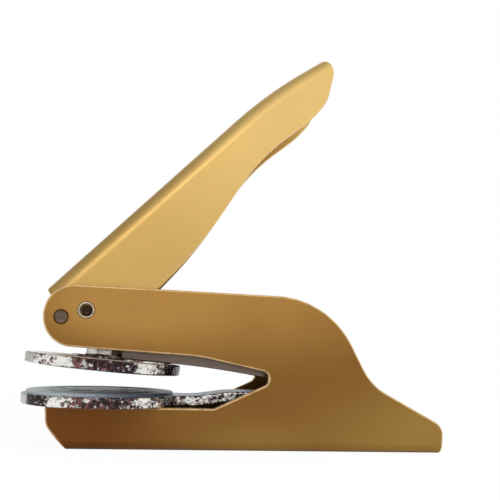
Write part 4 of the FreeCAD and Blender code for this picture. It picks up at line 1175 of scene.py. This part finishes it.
class EMBOSSER_OT_studio(bpy.types.Operator):
    """Pale floor, white surroundings, soft lamps and camera"""

    bl_idname = "embosser.studio"
    bl_label = "Studio"

    def execute(self, context):
        look = context.scene.seal_embosser
        scene = context.scene
        scene.view_settings.view_transform = "Standard"
        build = bmesh.new()
        bmesh.ops.create_circle(build, cap_ends=True, segments=96, radius=4.0)
        data = bpy.data.meshes.new("floor")
        build.to_mesh(data)
        build.free()
        floor = bpy.data.objects.new("floor", data)
        scene.collection.objects.link(floor)
        made, tree, shader = shading("Pale floor")
        shader.inputs["Roughness"].default_value = 0.9
        shader.inputs["Specular IOR Level"].default_value = 0.1
        tint = span(tree, noise_of(tree, 3.0), 0.3, 0.7, 0.0, 0.05)
        join(tree, blended(tree, tint, look.floor_colour, (0.85, 0.85, 0.85)), shader.inputs["Base Color"])
        glow = put(tree, "ShaderNodeEmission", Strength=1.0)
        length = put(tree, "ShaderNodeVectorMath", operation="LENGTH")
        join(tree, own_space(tree), length.inputs[0])
        far = span(tree, length.outputs["Value"], 0.14, 0.36, 0.95, 1.0)
        beside = span(tree, sums(tree, "ABSOLUTE", coordinate(tree, "Y")), 0.017, 0.040, 0.15, 1.0)
        camera, mirrored = ray_kinds(tree)
        shown = mixed(tree, camera, times(tree, far, beside), far)
        mix = put(tree, "ShaderNodeMixShader")
        feed(tree, mix, (0, times(tree, shown, sums(tree, "MAXIMUM", camera, mirrored))),
             (1, shader.outputs[0]), (2, glow.outputs[0]))
        join(tree, mix.outputs[0], tree.nodes["Material Output"].inputs["Surface"])
        data.materials.append(made)

        world = bpy.data.worlds.new("Studio")
        scene.world = world
        world.use_nodes = True
        tree = world.node_tree
        background = tree.nodes["Background"]
        around = put(tree, "ShaderNodeTexCoord").outputs["Generated"]
        brightest = 0.0
        for way in ((0.45, -0.85, 0.25), (0.6, 0.8, -0.1), (-1.0, -0.35, -0.9)):
            facing = put(tree, "ShaderNodeVectorMath", operation="DOT_PRODUCT")
            feed(tree, facing, (0, around), (1, way))
            brightest = sums(tree, "MAXIMUM", facing.outputs["Value"], brightest)
        camera, mirrored = ray_kinds(tree)
        wide = span(tree, brightest, -0.15, 0.95, 0.3, 1.0)
        join(tree, mixed(tree, camera, mixed(tree, mirrored, 0.6, wide), 1.0), background.inputs["Strength"])
        background.inputs["Color"].default_value = (1.0, 1.0, 1.0, 1.0)

        aim, power = (0.03, 0.0, 0.05), look.lamp_power
        soft_lamp("Front lamp", (0.20, -0.42, 0.46), aim, 0.45, 0.35, power, False)
        soft_lamp("Strip lamp", (-0.12, -0.44, 0.27), aim, 0.34, 0.10, 0.10 * power, True)
        low_camera(scene)
        return {"FINISHED"}


class EMBOSSER_PT_panel(bpy.types.Panel):
    """Lists the embosser's pieces and its looks"""

    bl_idname = "EMBOSSER_PT_panel"
    bl_label = "Seal embosser"
    bl_space_type = "VIEW_3D"
    bl_region_type = "UI"
    bl_category = "Embosser"

    def draw(self, context):
        look = context.scene.seal_embosser
        column = self.layout.column(align=True)
        for key in EmbosserLook.__annotations__:
            column.prop(look, key)
        for step in STEPS:
            column.operator(step.bl_idname)


STEPS = (
    EMBOSSER_OT_body_sheet,
    EMBOSSER_OT_handle_sheet,
    EMBOSSER_OT_cheek_pins,
    EMBOSSER_OT_lower_holder,
    EMBOSSER_OT_upper_holder,
    EMBOSSER_OT_dies,
    EMBOSSER_OT_press_bar,
    EMBOSSER_OT_return_coil,
    EMBOSSER_OT_inner_parts,
    EMBOSSER_OT_studio,
)
CLASSES = (EmbosserLook,) + STEPS + (EMBOSSER_PT_panel,)


def register():
    for kind in CLASSES:
        bpy.utils.register_class(kind)
    bpy.types.Scene.seal_embosser = PointerProperty(type=EmbosserLook)


def unregister():
    del bpy.types.Scene.seal_embosser
    for kind in reversed(CLASSES):
        bpy.utils.unregister_class(kind)


def main():
    register()
    for step in STEPS:
        group, name = step.bl_idname.split(".")
        getattr(getattr(bpy.ops, group), name)()
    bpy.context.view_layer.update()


if __name__ == "__main__":
    main()
